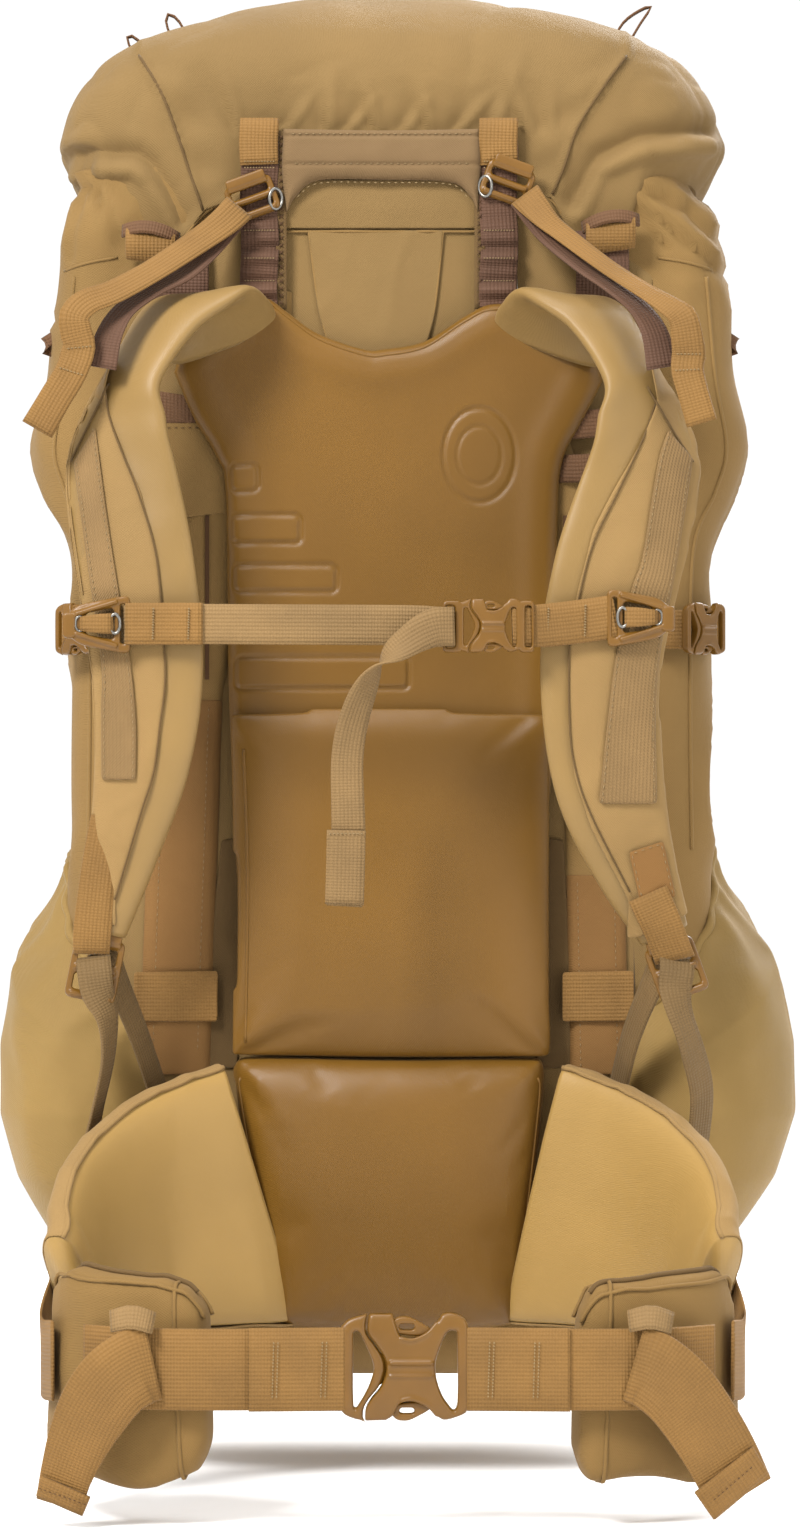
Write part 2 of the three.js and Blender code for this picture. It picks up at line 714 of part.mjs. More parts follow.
add('sternum_slider_left', sternumSlider(23, 18), PLASTIC).position.set(-182, -106, STERNUM_Z);
add('sternum_slider_right', sternumSlider(19, 18), PLASTIC).position.set(156, -106, STERNUM_Z + 5);

function levelWebbing(list, width, steps) {
  return webbing(list.map((at) => ({ at, across: [0, 0, 1] })), width, steps);
}

add('sternum_webbing_left', levelWebbing([
  [-156, STERNUM_Y, STERNUM_Z], [-100, STERNUM_Y - 3, STERNUM_Z],
  [-40, STERNUM_Y - 5, STERNUM_Z - 1], [28, STERNUM_Y - 4, STERNUM_Z - 2],
], WEB_NARROW, 6), WEBBING);
add('sternum_webbing_right', levelWebbing([
  [93, STERNUM_Y - 8, STERNUM_Z + 1], [112, STERNUM_Y - 7, STERNUM_Z + 2], [134, STERNUM_Y - 5, STERNUM_Z + 4],
], WEB_NARROW, 3), WEBBING);

const STERNUM_BUCKLE_Y = STERNUM_Y - 12;

function sternumMale() {
  const base = roundedRect(10, 16, 3, 40, STERNUM_Z - 2);
  base.holes.push(roundedRect(2.4, 12, 1, 35, STERNUM_Z - 2));
  const frame = toSolid(plate(base, STERNUM_BUCKLE_Y + 3.5, STERNUM_BUCKLE_Y - 3.5));
  const tongue = toSolid(boxAt(60, STERNUM_BUCKLE_Y, STERNUM_Z - 2, 28, 3.4, 22));
  return toGeometry(frame.add(tongue));
}

function sternumFemale() {
  const shape = roundedRect(19, 16, 4, 71, STERNUM_Z - 2);
  shape.holes.push(roundedRect(2.4, 12, 1, 84, STERNUM_Z - 2));
  const body = toSolid(plate(shape, STERNUM_BUCKLE_Y + 4.5, STERNUM_BUCKLE_Y - 4.5));
  const cavity = toSolid(boxAt(62, STERNUM_BUCKLE_Y, STERNUM_Z - 2, 28, 5, 25));
  return toGeometry(body.subtract(cavity));
}

add('sternum_buckle_male', sternumMale(), PLASTIC);
add('sternum_buckle_female', sternumFemale(), PLASTIC);

add('sternum_tail', webbing([
  { at: [22, STERNUM_BUCKLE_Y - 5, -292], across: [0.5, 0, 0.85] },
  { at: [-8, STERNUM_BUCKLE_Y - 8, -314], across: [0.8, 0, 0.6] },
  { at: [-24, STERNUM_BUCKLE_Y - 8, -352], across: [1, 0, 0.2] },
  { at: [-26, STERNUM_BUCKLE_Y - 4, -400], across: [1, 0, 0] },
  { at: [-28, STERNUM_BUCKLE_Y, -462], across: [1, 0, 0] },
], 23, 12), WEBBING);

// ---- Hip belt: wings that swing open, pods at their ends, webbing and the main buckle ----

const WING_THICK = 24;
const POD_THICK = 38;

// [x, y, z, height] of a wing's middle from the lumbar pad outwards; x is a distance from centre.
const WING_ROUTE = [
  [108, -26, -641, 140], [146, -52, -654, 138], [178, -88, -680, 134], [192, -122, -712, 128],
];
const POD_ROUTE = [
  [193, -149, -738, 126], [178, -184, -745, 132], [146, -204, -747, 128], [112, -212, -745, 112],
];

function beltPad(route, side, shift, thick) {
  return pad(route.map(([x, y, z, high]) => (
    { at: [side * x + shift, y, z], across: [0, 0, 1], width: high, thick }
  )), route.length * 4);
}

const BELT_WEB = {
  left: [[-184, -210], [-150, -231], [-110, -238], [-70, -235], [-31, BELT_Y]],
  right: [[196, -210], [164, -231], [124, -238], [84, -235], [50, BELT_Y]],
};

const BELT_TAIL = {
  left: [
    { at: [-146, -240, BELT_Z + 3], across: [0, 0, 1] },
    { at: [-166, -239, BELT_Z - 6], across: [-0.1, 0, 1] },
    { at: [-184, -232, -762], across: [-0.35, 0, 0.9] },
    { at: [-196, -222, -808], across: [-0.5, -0.5, 0.7] },
  ],
  right: [
    { at: [150, -240, BELT_Z + 1], across: [0, 0, 1] },
    { at: [166, -239, -752], across: [0.3, 0, 0.95] },
    { at: [190, -234, -776], across: [0.6, 0, 0.8] },
    { at: [208, -226, -806], across: [0.7, 0.1, 0.7] },
  ],
};

for (const [name, side] of SIDES) {
  const shift = side === LEFT ? 0 : 4;
  add(`hip_wing_${name}`, beltPad(WING_ROUTE, side, shift, WING_THICK), FACING);
  add(`hip_pod_${name}`, beltPad(POD_ROUTE, side, shift, POD_THICK), NYLON);
  const strand = BELT_WEB[name].map(([x, y]) => [x, y, BELT_Z]);
  add(`belt_webbing_${name}`, levelWebbing(strand, WEB_WIDE, 12), WEBBING);
  add(`belt_tail_${name}`, webbing(BELT_TAIL[name], WEB_WIDE - 3, 10), WEBBING);
}

// Buckle faces: distances along X from the buckle's own middle.
const BUCKLE = { high: 62, thick: 16, plate: 2.6, mouth: -19, root: 20, far: 39, base: -37, prong: 31 };

function beltMale() {
  const { base, mouth } = BUCKLE;
  const halfX = (mouth - base) / 2 + 3;
  const frame = roundedRect(halfX, BUCKLE.high / 2, 5, base + halfX, 0);
  frame.holes.push(roundedRect(3, WEB_WIDE / 2 + 1, 1.5, base + 11, 0));
  const body = toSolid(plate(frame, 4.5, -4.5));
  const tongue = toSolid(boxAt(mouth + 16, 0, 0, 34, 4.4, 24));
  const moved = body.add(tongue);
  const roots = [-1, 1].map((s) => toSolid(boxAt(mouth + 3, 0, s * 24, 11, 12, 11)));
  return toGeometry(roots.reduce((solid, cutter) => solid.subtract(cutter), moved));
}

function beltFemale() {
  const { mouth, root, far, high, thick } = BUCKLE;
  const halfX = (far - mouth) / 2 - 3;
  const shape = roundedRect(halfX, high / 2 + 1, 9, mouth + 6 + halfX, 0);
  shape.holes.push(roundedRect(3, WEB_WIDE / 2 + 1, 1.5, far - 10, 0));
  const body = toSolid(plate(shape, thick / 2, -thick / 2));
  const room = toSolid(boxAt((mouth + root) / 2, 0, 0, root - mouth + 8, thick - 2 * BUCKLE.plate, high + 10));
  return toGeometry(body.subtract(room));
}

function onBuckle(name, geometry) {
  add(name, geometry, PLASTIC).position.set(BELT_CENTRE, BELT_Y, BELT_Z);
}

onBuckle('belt_buckle_male', beltMale());
onBuckle('belt_buckle_female', beltFemale());

// The sprung release prongs, above and below the tongue.
function releaseProng(side) {
  const x = BUCKLE.mouth - 1;
  const outline = [
    [x, side * 20], [x + 18, side * 21], [x + BUCKLE.prong, side * 19], [x + BUCKLE.prong + 2, side * 23],
    [x + 27, side * 29], [x + 19, side * 29], [x + 12, side * 26], [x, side * 26],
  ];
  return plate(side > 0 ? outline : [...outline].reverse(), 3, -3);
}

onBuckle('belt_release_prong_upper', releaseProng(1));
onBuckle('belt_release_prong_lower', releaseProng(-1));

export default pack;
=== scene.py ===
"""The looks of a large hunting backpack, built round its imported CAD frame.

Places are in millimetres, in the CAD's frame: +Z up, the harness side facing -Y.
make_piece turns them into metres.
"""

import json
import math

import bpy
import numpy as np
from mathutils import Matrix, Vector, noise
from mathutils.bvhtree import BVHTree


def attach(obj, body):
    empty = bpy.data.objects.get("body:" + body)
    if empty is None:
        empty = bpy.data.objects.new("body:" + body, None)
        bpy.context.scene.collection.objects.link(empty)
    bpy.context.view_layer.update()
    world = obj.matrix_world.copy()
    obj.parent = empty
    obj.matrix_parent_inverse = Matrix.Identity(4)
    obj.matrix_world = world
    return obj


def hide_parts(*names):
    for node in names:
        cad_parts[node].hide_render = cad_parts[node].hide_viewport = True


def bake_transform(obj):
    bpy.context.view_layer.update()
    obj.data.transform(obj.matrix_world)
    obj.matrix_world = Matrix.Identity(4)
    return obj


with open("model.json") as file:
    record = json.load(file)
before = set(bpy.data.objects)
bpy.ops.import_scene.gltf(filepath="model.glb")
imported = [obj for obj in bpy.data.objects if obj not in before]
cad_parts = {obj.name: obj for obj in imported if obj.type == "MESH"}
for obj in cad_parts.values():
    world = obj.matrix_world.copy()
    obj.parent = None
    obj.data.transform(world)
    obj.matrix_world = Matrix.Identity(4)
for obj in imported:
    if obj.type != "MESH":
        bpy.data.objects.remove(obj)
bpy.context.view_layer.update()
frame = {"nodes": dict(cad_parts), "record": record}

MM = 0.001
SIDES = (("left", -1), ("right", 1))
TO_WEARER = (0, -1, 0)
scene = bpy.context.scene

# ---------------------------------------------------------------- curves and grids


def smooth_curve(points, count):
    """Rows of a Catmull-Rom curve through rows of numbers."""
    p = np.asarray(points, float)
    p = np.vstack([2 * p[0] - p[1], p, 2 * p[-1] - p[-2]])
    t = np.linspace(0, len(p) - 3, count)
    i = np.minimum(t.astype(int), len(p) - 4)
    f = (t - i)[:, None]
    a, b, c, d = p[i], p[i + 1], p[i + 2], p[i + 3]
    return 0.5 * (2 * b + (c - a) * f + (2 * a - 5 * b + 4 * c - d) * f**2 + (3 * b - a - 3 * c + d) * f**3)


def resampled(line, count, endpoint=True):
    """A line of points made even along its length."""
    length = np.r_[0, np.cumsum(np.linalg.norm(np.diff(line[:, :3], axis=0), axis=1))]
    at = np.linspace(0, length[-1], count, endpoint=endpoint)
    return np.stack([np.interp(at, length, column) for column in line.T], axis=1)


def even_curve(points, count):
    """Like smooth_curve, with its rows evenly spaced along the curve."""
    return resampled(smooth_curve(points, 40 * len(points)), count)


def polyline(points, count):
    """Evenly spaced places along straight pieces."""
    return resampled(np.asarray(points, float), count)


def route_length(points):
    return sum(math.dist(a[:3], b[:3]) for a, b in zip(points, points[1:]))


def unit(v):
    return v / np.maximum(np.linalg.norm(v, axis=-1, keepdims=True), 1e-9)


def grid_normals(rows, loop=False):
    """Normals of an (n, m, 3) grid of points."""
    down = np.gradient(rows, axis=0)
    if loop:
        along = np.roll(rows, -1, axis=1) - np.roll(rows, 1, axis=1)
    else:
        along = np.gradient(rows, axis=1)
    return unit(np.cross(along, down))


def coons(top, bottom, left, right, rows, columns):
    """A patch between four border curves: top and bottom run left to right, the others downwards."""
    t, b = even_curve(top, columns), even_curve(bottom, columns)
    l, r = even_curve(left, rows), even_curve(right, rows)
    u = np.linspace(0, 1, columns)[None, :, None]
    v = np.linspace(0, 1, rows)[:, None, None]
    ruled = (1 - v) * t[None] + v * b[None] + (1 - u) * l[:, None] + u * r[:, None]
    corners = (1 - u) * (1 - v) * t[0] + u * (1 - v) * t[-1] + (1 - u) * v * b[0] + u * v * b[-1]
    return ruled - corners


def quad(top_left, top_right, low_left, low_right, rows, columns):
    """An (x, z) grid between four corners."""
    return coons([top_left, top_right], [low_left, low_right], [top_left, low_left], [top_right, low_right],
                 rows, columns)


def grid_border(grid):
    """The places round a grid's edge, in order."""
    return np.vstack([grid[0], grid[1:, -1], grid[-1, ::-1][1:], grid[::-1, 0][1:-1]])


def at_depth(flat, y):
    """The (x, z) places of a grid, at depth y."""
    return np.stack([flat[..., 0], y + 0 * flat[..., 0], flat[..., 1]], 2)


def domed_rim(d, thick, edge):
    """Height of a pad whose rim is rounded over the width edge, d being the distance from its border."""
    return thick * np.sqrt(1 - (1 - np.clip(d / edge, 0, 1)) ** 2)


def ridged(points, size, seed, stretch=(1, 1, 1)):
    """Fold-like noise at points: 0 in the flats, up to 1 on crisp ridges."""
    flat = points.reshape(-1, 3) / (np.array(stretch) * size) + seed * 7.3
    values = [1 - abs(noise.noise(Vector(p))) * 2.6 for p in flat]
    return np.clip(np.array(values), 0, 1).reshape(points.shape[:-1]) ** 2


def soft_noise(points, size, seed, stretch=(1, 1, 1)):
    """Smooth noise at points, about -0.5 to 0.5."""
    flat = points.reshape(-1, 3) / (np.array(stretch) * size) + seed * 5.1
    return np.array([noise.noise(Vector(p)) for p in flat]).reshape(points.shape[:-1])


def bump(x, centre, width):
    """A smooth bump of height 1 about a centre."""
    return np.exp(-(((x - centre) / width) ** 2))


# ---------------------------------------------------------------- pieces


def linked(name, data):
    """A new object in the scene."""
    piece = bpy.data.objects.new(name, data)
    scene.collection.objects.link(piece)
    return piece


def evaluated_mesh(piece):
    """A new mesh of a piece with its modifiers applied."""
    bpy.context.view_layer.update()
    graph = bpy.context.evaluated_depsgraph_get()
    return bpy.data.meshes.new_from_object(piece.evaluated_get(graph))


def vertex_places(mesh):
    return np.array([v.co for v in mesh.vertices], float)


def smooth_faces(mesh):
    mesh.polygons.foreach_set("use_smooth", [True] * len(mesh.polygons))


def make_piece(name, points, faces, material, uvs=None):
    mesh = bpy.data.meshes.new(name)
    mesh.from_pydata((np.asarray(points, float).reshape(-1, 3) * MM).tolist(), [], faces)
    smooth_faces(mesh)
    if uvs is not None:
        layer = mesh.uv_layers.new(name="UVMap")
        corners = np.array([uvs[i] for face in faces for i in face], float) * MM
        layer.data.foreach_set("uv", corners.ravel())
    mesh.validate()
    mesh.materials.append(material)
    return linked(name, mesh)


def grid_faces(rows, columns, loop=False, start=0):
    faces = []
    for i in range(rows - 1):
        for j in range(columns if loop else columns - 1):
            k = (j + 1) % columns
            a, b = start + i * columns, start + (i + 1) * columns
            faces.append((a + j, b + j, b + k, a + k))
    return faces


def tube_faces(rows, columns):
    """Faces of a tube through rings of points, with a cap at each end."""
    caps = [tuple(range(columns)), tuple(reversed(range((rows - 1) * columns, rows * columns)))]
    return grid_faces(rows, columns, loop=True) + caps


def grid_uvs(rows):
    """Lengths across and along an (n, m, 3) grid, measured from its middle column."""
    across = np.cumsum(np.linalg.norm(np.diff(rows, axis=1, prepend=rows[:, :1]), axis=2), axis=1)
    along = np.cumsum(np.linalg.norm(np.diff(rows, axis=0, prepend=rows[:1]), axis=2), axis=0)
    across = across - across[:, -1:] / 2
    return np.stack([across, along], axis=2).reshape(-1, 2)


def add_modifiers(piece, thick=0.0, offset=-1.0, smooth=0):
    if thick:
        solid = piece.modifiers.new("thickness", "SOLIDIFY")
        solid.thickness = thick * MM
        solid.offset = offset
        solid.use_even_offset = False
    if smooth:
        surface = piece.modifiers.new("smooth", "SUBSURF")
        surface.levels = smooth
        surface.render_levels = smooth
    return piece


def sheet_piece(name, rows, material, thick=1.2, offset=0.0, smooth=1):
    """Cloth over an (n, m, 3) grid of points."""
    n, m = rows.shape[:2]
    piece = make_piece(name, rows, grid_faces(n, m), material, grid_uvs(rows))
    return add_modifiers(piece, thick, offset, smooth)


def closed_piece(name, front, back, material):
    """A solid between a front and a back grid that share their border places."""
    n, m = front.shape[:2]
    points = np.vstack([front.reshape(-1, 3), back.reshape(-1, 3)])
    faces = grid_faces(n, m)
    faces += [tuple(reversed(face)) for face in grid_faces(n, m, start=n * m)]
    border = [*range(m)] + [i * m + m - 1 for i in range(1, n)]
    border += [(n - 1) * m + j for j in range(m - 2, -1, -1)] + [i * m for i in range(n - 2, 0, -1)]
    for a, b in zip(border, border[1:] + border[:1]):
        faces.append((a, b, b + n * m, a + n * m))
    uvs = np.vstack([grid_uvs(front), grid_uvs(back)])
    return make_piece(name, points, faces, material, uvs)


def sweep_frames(stations, count):
    """Places, directions across and along, widths and thicknesses evenly along a strap's route.

    A station is (x, y, z, across x, across y, across z, width, thick).
    """
    line = even_curve(stations, count)
    place = line[:, :3]
    along = unit(np.gradient(place, axis=0))
    across = line[:, 3:6]
    across = unit(across - along * np.sum(across * along, axis=1, keepdims=True))
    normal = np.cross(along, across)
    return place, across, normal, line[:, 6], line[:, 7]


def sweep_rings(stations, count, section):
    """Rings of points along a strap's route: its section, scaled to the width and thickness there."""
    place, across, normal, width, thick = sweep_frames(stations, count)
    section = np.asarray(section, float)
    u = section[None, :, 0, None] * width[:, None, None]
    v = section[None, :, 1, None] * thick[:, None, None]
    return place[:, None] + across[:, None] * u + normal[:, None] * v


def tube_piece(name, rings, material, uvs=None):
    """A solid through rings of points, capped at both ends."""
    return make_piece(name, rings, tube_faces(*rings.shape[:2]), material, uvs)


WEB_SECTION = [(-0.5, 0), (-0.48, -0.45), (-0.25, -0.5), (0, -0.5), (0.25, -0.5), (0.48, -0.45),
               (0.5, 0), (0.48, 0.45), (0.25, 0.5), (0, 0.5), (-0.25, 0.5), (-0.48, 0.45)]


def across_x(points, width):
    """Stations of webbing whose width runs along X."""
    return [(*point, 1, 0, 0, width) for point in points]


def upright(points, width):
    """Stations of webbing whose width runs along Z."""
    return [(*point, 0, 0, 1, width) for point in points]


def webbing(name, stations, body, nodes=(), material=None, steps=None, thick=2.0):
    """A length of flat webbing. A station is (x, y, z, across x, across y, across z, width)."""
    full = [(*s[:7], thick) for s in stations]
    length = route_length(full)
    count = steps or max(6, int(length / 4))
    rings = sweep_rings(full, count, WEB_SECTION)
    width = sweep_frames(full, count)[3]
    across = np.array(WEB_SECTION)[None, :, 0] * width[:, None]
    along = np.linspace(0, length, count)[:, None] + 0 * across
    uvs = np.stack([across, along], axis=2).reshape(-1, 2)
    piece = tube_piece(name, rings, material or WEBBING, uvs)
    return dress(piece, body, nodes)


def superellipse(count, power_u, power_v):
    """A closed section, 1 wide and 1 thick; higher powers make it squarer."""
    a = np.linspace(0, 2 * math.pi, count, endpoint=False)
    waves = ((np.cos(a), power_u), (np.sin(a), power_v))
    return np.stack([0.5 * np.sign(v) * abs(v) ** (2 / power) for v, power in waves], 1)


def dress(piece, body, nodes=()):
    """Fastens a piece to a body given by name, or else bakes its place into its mesh, and hides the CAD nodes
    it stands for.
    """
    if isinstance(body, str):
        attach(piece, body)
    else:
        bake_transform(piece)
    if nodes:
        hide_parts(*([nodes] if isinstance(nodes, str) else nodes))
    return piece


def slab(outlines, near, far, bevel=0.8):
    """Points and faces of a flat layer from y = near to y = far; outlines are (x, z) points, holes too."""
    curve = bpy.data.curves.new("slab", "CURVE")
    curve.dimensions = "2D"
    curve.fill_mode = "BOTH"
    curve.extrude = (far - near) / 2 - bevel
    curve.bevel_depth = bevel
    curve.bevel_resolution = 1
    curve.offset = -bevel
    for outline in outlines:
        spline = curve.splines.new("POLY")
        spline.points.add(len(outline) - 1)
        for target, (x, z) in zip(spline.points, outline):
            target.co = (x, z, 0, 1)
        spline.use_cyclic_u = True
    holder = linked("slab", curve)
    flat = evaluated_mesh(holder)
    points = vertex_places(flat)
    points = np.stack([points[:, 0], (near + far) / 2 - points[:, 2], points[:, 1]], 1)
    faces = [tuple(p.vertices) for p in flat.polygons]
    bpy.data.objects.remove(holder)
    bpy.data.curves.remove(curve)
    bpy.data.meshes.remove(flat)
    return points, faces


def round_rings(line, along, side, radius, sides):
    """Rings of points round a line; side points across it."""
    up = np.cross(side, along)
    a = np.linspace(0, 2 * math.pi, sides, endpoint=False)[None, :, None]
    return line[:, None] + radius * (np.cos(a) * side[:, None] + np.sin(a) * up[:, None])


def rod(points, radius, sides=10):
    """Points and faces of a round bar."""
    line = even_curve(points, max(4, 4 * len(points)))
    along = unit(np.gradient(line, axis=0))
    guide = np.where(abs(along[:, 1:2]) > 0.9, np.array([[1.0, 0, 0]]), np.array([[0, 1.0, 0]]))
    rings = round_rings(line, along, unit(np.cross(along, guide)), radius, sides)
    return rings.reshape(-1, 3), tube_faces(len(line), sides)


def placed(points, place=(0, 0, 0), turn=(0, 0, 0), scale=1.0):
    """Points scaled, turned about X, then Y, then Z, and moved."""
    about_x, about_y, about_z = (Matrix.Rotation(angle, 3, axis) for angle, axis in zip(turn, "XYZ"))
    rotation = about_z @ about_y @ about_x
    return (np.asarray(points, float) * scale) @ np.array(rotation).T + np.array(place, float)


def mould(name, parts, body, nodes=(), place=(0, 0, 0), turn=(0, 0, 0), scale=1.0, voxel=0.8, shape=None):
    """One moulded buckle piece: its parts are fused on a voxel grid, and their edges rounded."""
    points, faces = [], []
    for part_points, part_faces in parts:
        start = len(points)
        points += [tuple(p) for p in part_points]
        faces += [tuple(start + k for k in face) for face in part_faces]
    rough = make_piece(name, points, faces, BUCKLE)
    remesh = rough.modifiers.new("fuse", "REMESH")
    remesh.mode = "VOXEL"
    remesh.voxel_size = voxel * MM
    remesh.use_smooth_shade = True
    soften = rough.modifiers.new("round", "SMOOTH")
    soften.iterations = 3
    soften.factor = 0.5
    fused = evaluated_mesh(rough)
    bpy.data.objects.remove(rough)
    surface = vertex_places(fused) / MM
    if shape:
        surface = shape(surface)
    surface = placed(surface, place, turn, scale)
    fused.vertices.foreach_set("co", (surface * MM).ravel())
    smooth_faces(fused)
    fused.name = name
    fused.materials.clear()
    fused.materials.append(BUCKLE)
    return dress(linked(name, fused), body, nodes)


def rounded(points, radius, steps=5):
    """A closed outline with its corners rounded."""
    result = []
    count = len(points)
    for i, (x, z) in enumerate(points):
        here = np.array((x, z), float)
        before = np.array(points[i - 1], float) - here
        after = np.array(points[(i + 1) % count], float) - here
        r = min(radius, 0.49 * np.linalg.norm(before), 0.49 * np.linalg.norm(after))
        a, b = here + unit(before) * r, here + unit(after) * r
        for t in np.linspace(0, 1, steps):
            result.append(tuple((1 - t) ** 2 * a + 2 * t * (1 - t) * here + t**2 * b))
    return result


def rectangle(half_x, half_z, radius, x=0.0, z=0.0):
    """The outline of a rectangle with rounded corners."""
    signs = ((-1, -1), (1, -1), (1, 1), (-1, 1))
    return rounded([(x + sx * half_x, z + sz * half_z) for sx, sz in signs], radius)


def stitches(name, lines, body, material=None, pitch=4.2, length=2.8, width=0.7):
    """Rows of raised stitches. A line is (points, normal) with the normal facing out of the cloth."""
    points, faces = [], []
    for route, normal in lines:
        line = even_curve(route, max(3, int(route_length(route) / pitch) * 2 + 1))
        along = unit(np.gradient(line, axis=0))
        up = unit(np.asarray(normal, float))
        for place, way in list(zip(line, along))[1::2]:
            side = np.cross(way, up)
            start = len(points)
            points += [place - way * length / 2, place + way * length / 2]
            points += [place + side * width / 2, place + up * width * 0.7,
                       place - side * width / 2, place - up * width * 0.5]
            ring = [start + 2, start + 3, start + 4, start + 5]
            for a, b in zip(ring, ring[1:] + ring[:1]):
                faces += [(start, a, b), (start + 1, b, a)]
    piece = make_piece(name, points, faces, material or THREAD)
    return dress(piece, body)


# ---------------------------------------------------------------- laying things on a surface


class Surface:
    """The outside of finished pieces, to lay straps, seams and stitches on."""

    def __init__(self, *pieces):
        bpy.context.view_layer.update()
        graph = bpy.context.evaluated_depsgraph_get()
        self.trees = [BVHTree.FromObject(piece, graph) for piece in pieces]

    def cast(self, start, way):
        """The first point hit from start, and the surface's normal there."""
        best = None
        for tree in self.trees:
            place, normal, _, distance = tree.ray_cast(Vector(start) * MM, Vector(way))
            if place is not None and (best is None or distance < best[2]):
                best = (np.array(place) / MM, np.array(normal), distance)
        if best is None:
            hits = [tree.find_nearest(Vector(start) * MM) for tree in self.trees]
            place, normal, _, _ = min(hits, key=lambda hit: hit[3])
            best = (np.array(place) / MM, np.array(normal), 0)
        normal = best[1] if np.dot(best[1], way) < 0 else -best[1]
        return best[0], normal

    def lay(self, flat, lift, start_y=-420.0):
        """Points at (x, z) laid on the side that faces the wearer, lifted along -Y."""
        flat = np.asarray(flat, float)
        laid = []
        for x, z in flat.reshape(-1, 2):
            place, _ = self.cast((x, start_y, z), (0, 1, 0))
            laid.append((x, place[1] - lift, z))
        return np.array(laid).reshape(*flat.shape[:-1], 3)

    def rise(self, places, lift):
        """Places moved up or down onto the surface, and lifted along +Z."""
        return np.array([(x, y, self.cast((x, y, z + 60), (0, 0, -1))[0][2] + lift) for x, y, z in places])

    def normals(self, flat, start_y=-420.0):
        return np.array([self.cast((x, start_y, z), (0, 1, 0))[1] for x, z in np.asarray(flat, float)])


def between(first, second, rows, columns, curve=even_curve):
    """A grid of (x, z) places between two curves that run the same way."""
    a, b = curve(first, rows), curve(second, rows)
    u = np.linspace(0, 1, columns)[None, :, None]
    return a[:, None] * (1 - u) + b[:, None] * u


def laid_strip(name, surface, first, second, body, slot, material, lift=0.9, thick=1.4, straight=False,
               step=4.0, columns=9, soften=2):
    """Webbing or cloth laid on a surface between two edges given as (x, z) points."""
    rows = max(4, int(route_length(first) / step))
    flat = between(first, second, rows, columns, polyline if straight else even_curve)
    laid = surface.lay(flat, lift + thick / 2)
    for _ in range(soften):
        laid[1:-1, :, 1] = (laid[:-2, :, 1] + 2 * laid[1:-1, :, 1] + laid[2:, :, 1]) / 4
    return dress(sheet_piece(name, laid, material, thick), body)


def laid_stitches(name, surface, lines, body, material=None, lift=0.6):
    """Rows of stitches laid on a surface along lines of (x, z) points."""
    rows = []
    for line in lines:
        flat = even_curve(line, max(3, int(route_length(line) / 5)))
        rows.append((surface.lay(flat, lift), surface.normals(flat).mean(axis=0)))
    return stitches(name, rows, body, material)


def tube(name, points, radius, material, body, sides=8, count=None):
    """A round cord, bead or piping along points."""
    line = even_curve(points, count or max(6, int(route_length(points) / 4)))
    along = unit(np.gradient(line, axis=0))
    # the tiny shift keeps a direction where the line runs straight towards the wearer
    side = unit(np.cross(along, (0.0, -1.0, 0.0)) + 1e-6)
    return dress(tube_piece(name, round_rings(line, along, side, radius, sides), material), body)


def laid_piping(name, surface, line, body, material, radius=1.1, lift=0.3):
    flat = even_curve(line, max(6, int(route_length(line) / 4)))
    return tube(name, surface.lay(flat, lift), radius, material, body)


def border_distance(flat, border):
    """How far each (x, z) of a grid is from a closed border."""
    a = np.asarray(border, float)
    b = np.roll(a, -1, axis=0)
    ab = b - a
    size = np.maximum(np.sum(ab**2, axis=1), 1e-9)
    result = np.empty(flat.shape[:-1])
    for i, row in enumerate(flat):
        ap = row[:, None] - a[None]
        t = np.clip(np.sum(ap * ab, axis=2) / size, 0, 1)
        result[i] = np.linalg.norm(ap - t[..., None] * ab, axis=2).min(axis=1)
    return result


def inflate(piece, limit, seams, pressure=4.0, voxel=5.0, frames=20):
    """Air pressure rounds a padded piece in a cloth simulation; no point moves further than limit.

    Points near a seam, given as rows of places, are held.
    """
    fine = piece.modifiers.new("fine", "REMESH")
    fine.mode = "VOXEL"
    fine.voxel_size = voxel * MM
    mesh = evaluated_mesh(piece)
    soft = linked("soft", mesh)
    before = vertex_places(mesh) / MM
    places = np.vstack(seams)
    gap = np.array([np.min(np.sum((places - point) ** 2, axis=1)) for point in before])
    held = soft.vertex_groups.new(name="held")
    held.add([int(k) for k in np.nonzero(gap < (voxel * 0.9) ** 2)[0]], 1.0, "REPLACE")
    air = soft.modifiers.new("air", "CLOTH")
    air.settings.use_pressure = True
    air.settings.uniform_pressure_force = pressure
    air.settings.effector_weights.gravity = 0
    air.settings.vertex_group_mass = "held"
    air.point_cache.frame_start = 1
    air.point_cache.frame_end = frames
    for step in range(1, frames + 1):
        scene.frame_set(step)
    evaluated = soft.evaluated_get(bpy.context.evaluated_depsgraph_get())
    move = vertex_places(evaluated.data) / MM - before
    scene.frame_set(1)
    size = np.linalg.norm(move, axis=1, keepdims=True)
    after = before + move * np.minimum(1, limit / np.maximum(size, 1e-6))
    mesh.vertices.foreach_set("co", (after * MM).ravel())
    smooth_faces(mesh)
    material = piece.data.materials[0]
    piece.modifiers.clear()
    bpy.data.objects.remove(soft)
    piece.data = mesh
    mesh.materials.clear()
    mesh.materials.append(material)
    add_modifiers(piece, smooth=1)


def quilted(name, borders, back, thick, edge, material, body, nodes=(), size=(90, 70), shape=None,
            puff=0):
    """A pad in XZ between four borders (top, bottom, left, right), with a rounded rim and a flat back.

    back is the depth of its back. shape(x, z, d) adds to the height of its face, d being the distance
    from the border. puff is how far the cloth simulation may move it.
    """
    flat = coons(*borders, *size)
    d = border_distance(flat, grid_border(flat))
    height = domed_rim(d, thick, edge) + shape(flat[..., 0], flat[..., 1], d)
    front = at_depth(flat, back - np.maximum(height, 1.2))
    rear = at_depth(flat, back)
    piece = closed_piece(name, front, rear, material)
    if puff:
        held = (rear[::4, ::4], front[[0, -1]], front[:, [0, -1]])
        inflate(piece, puff, [places.reshape(-1, 3) for places in held])
    dress(piece, body, nodes)
    return piece


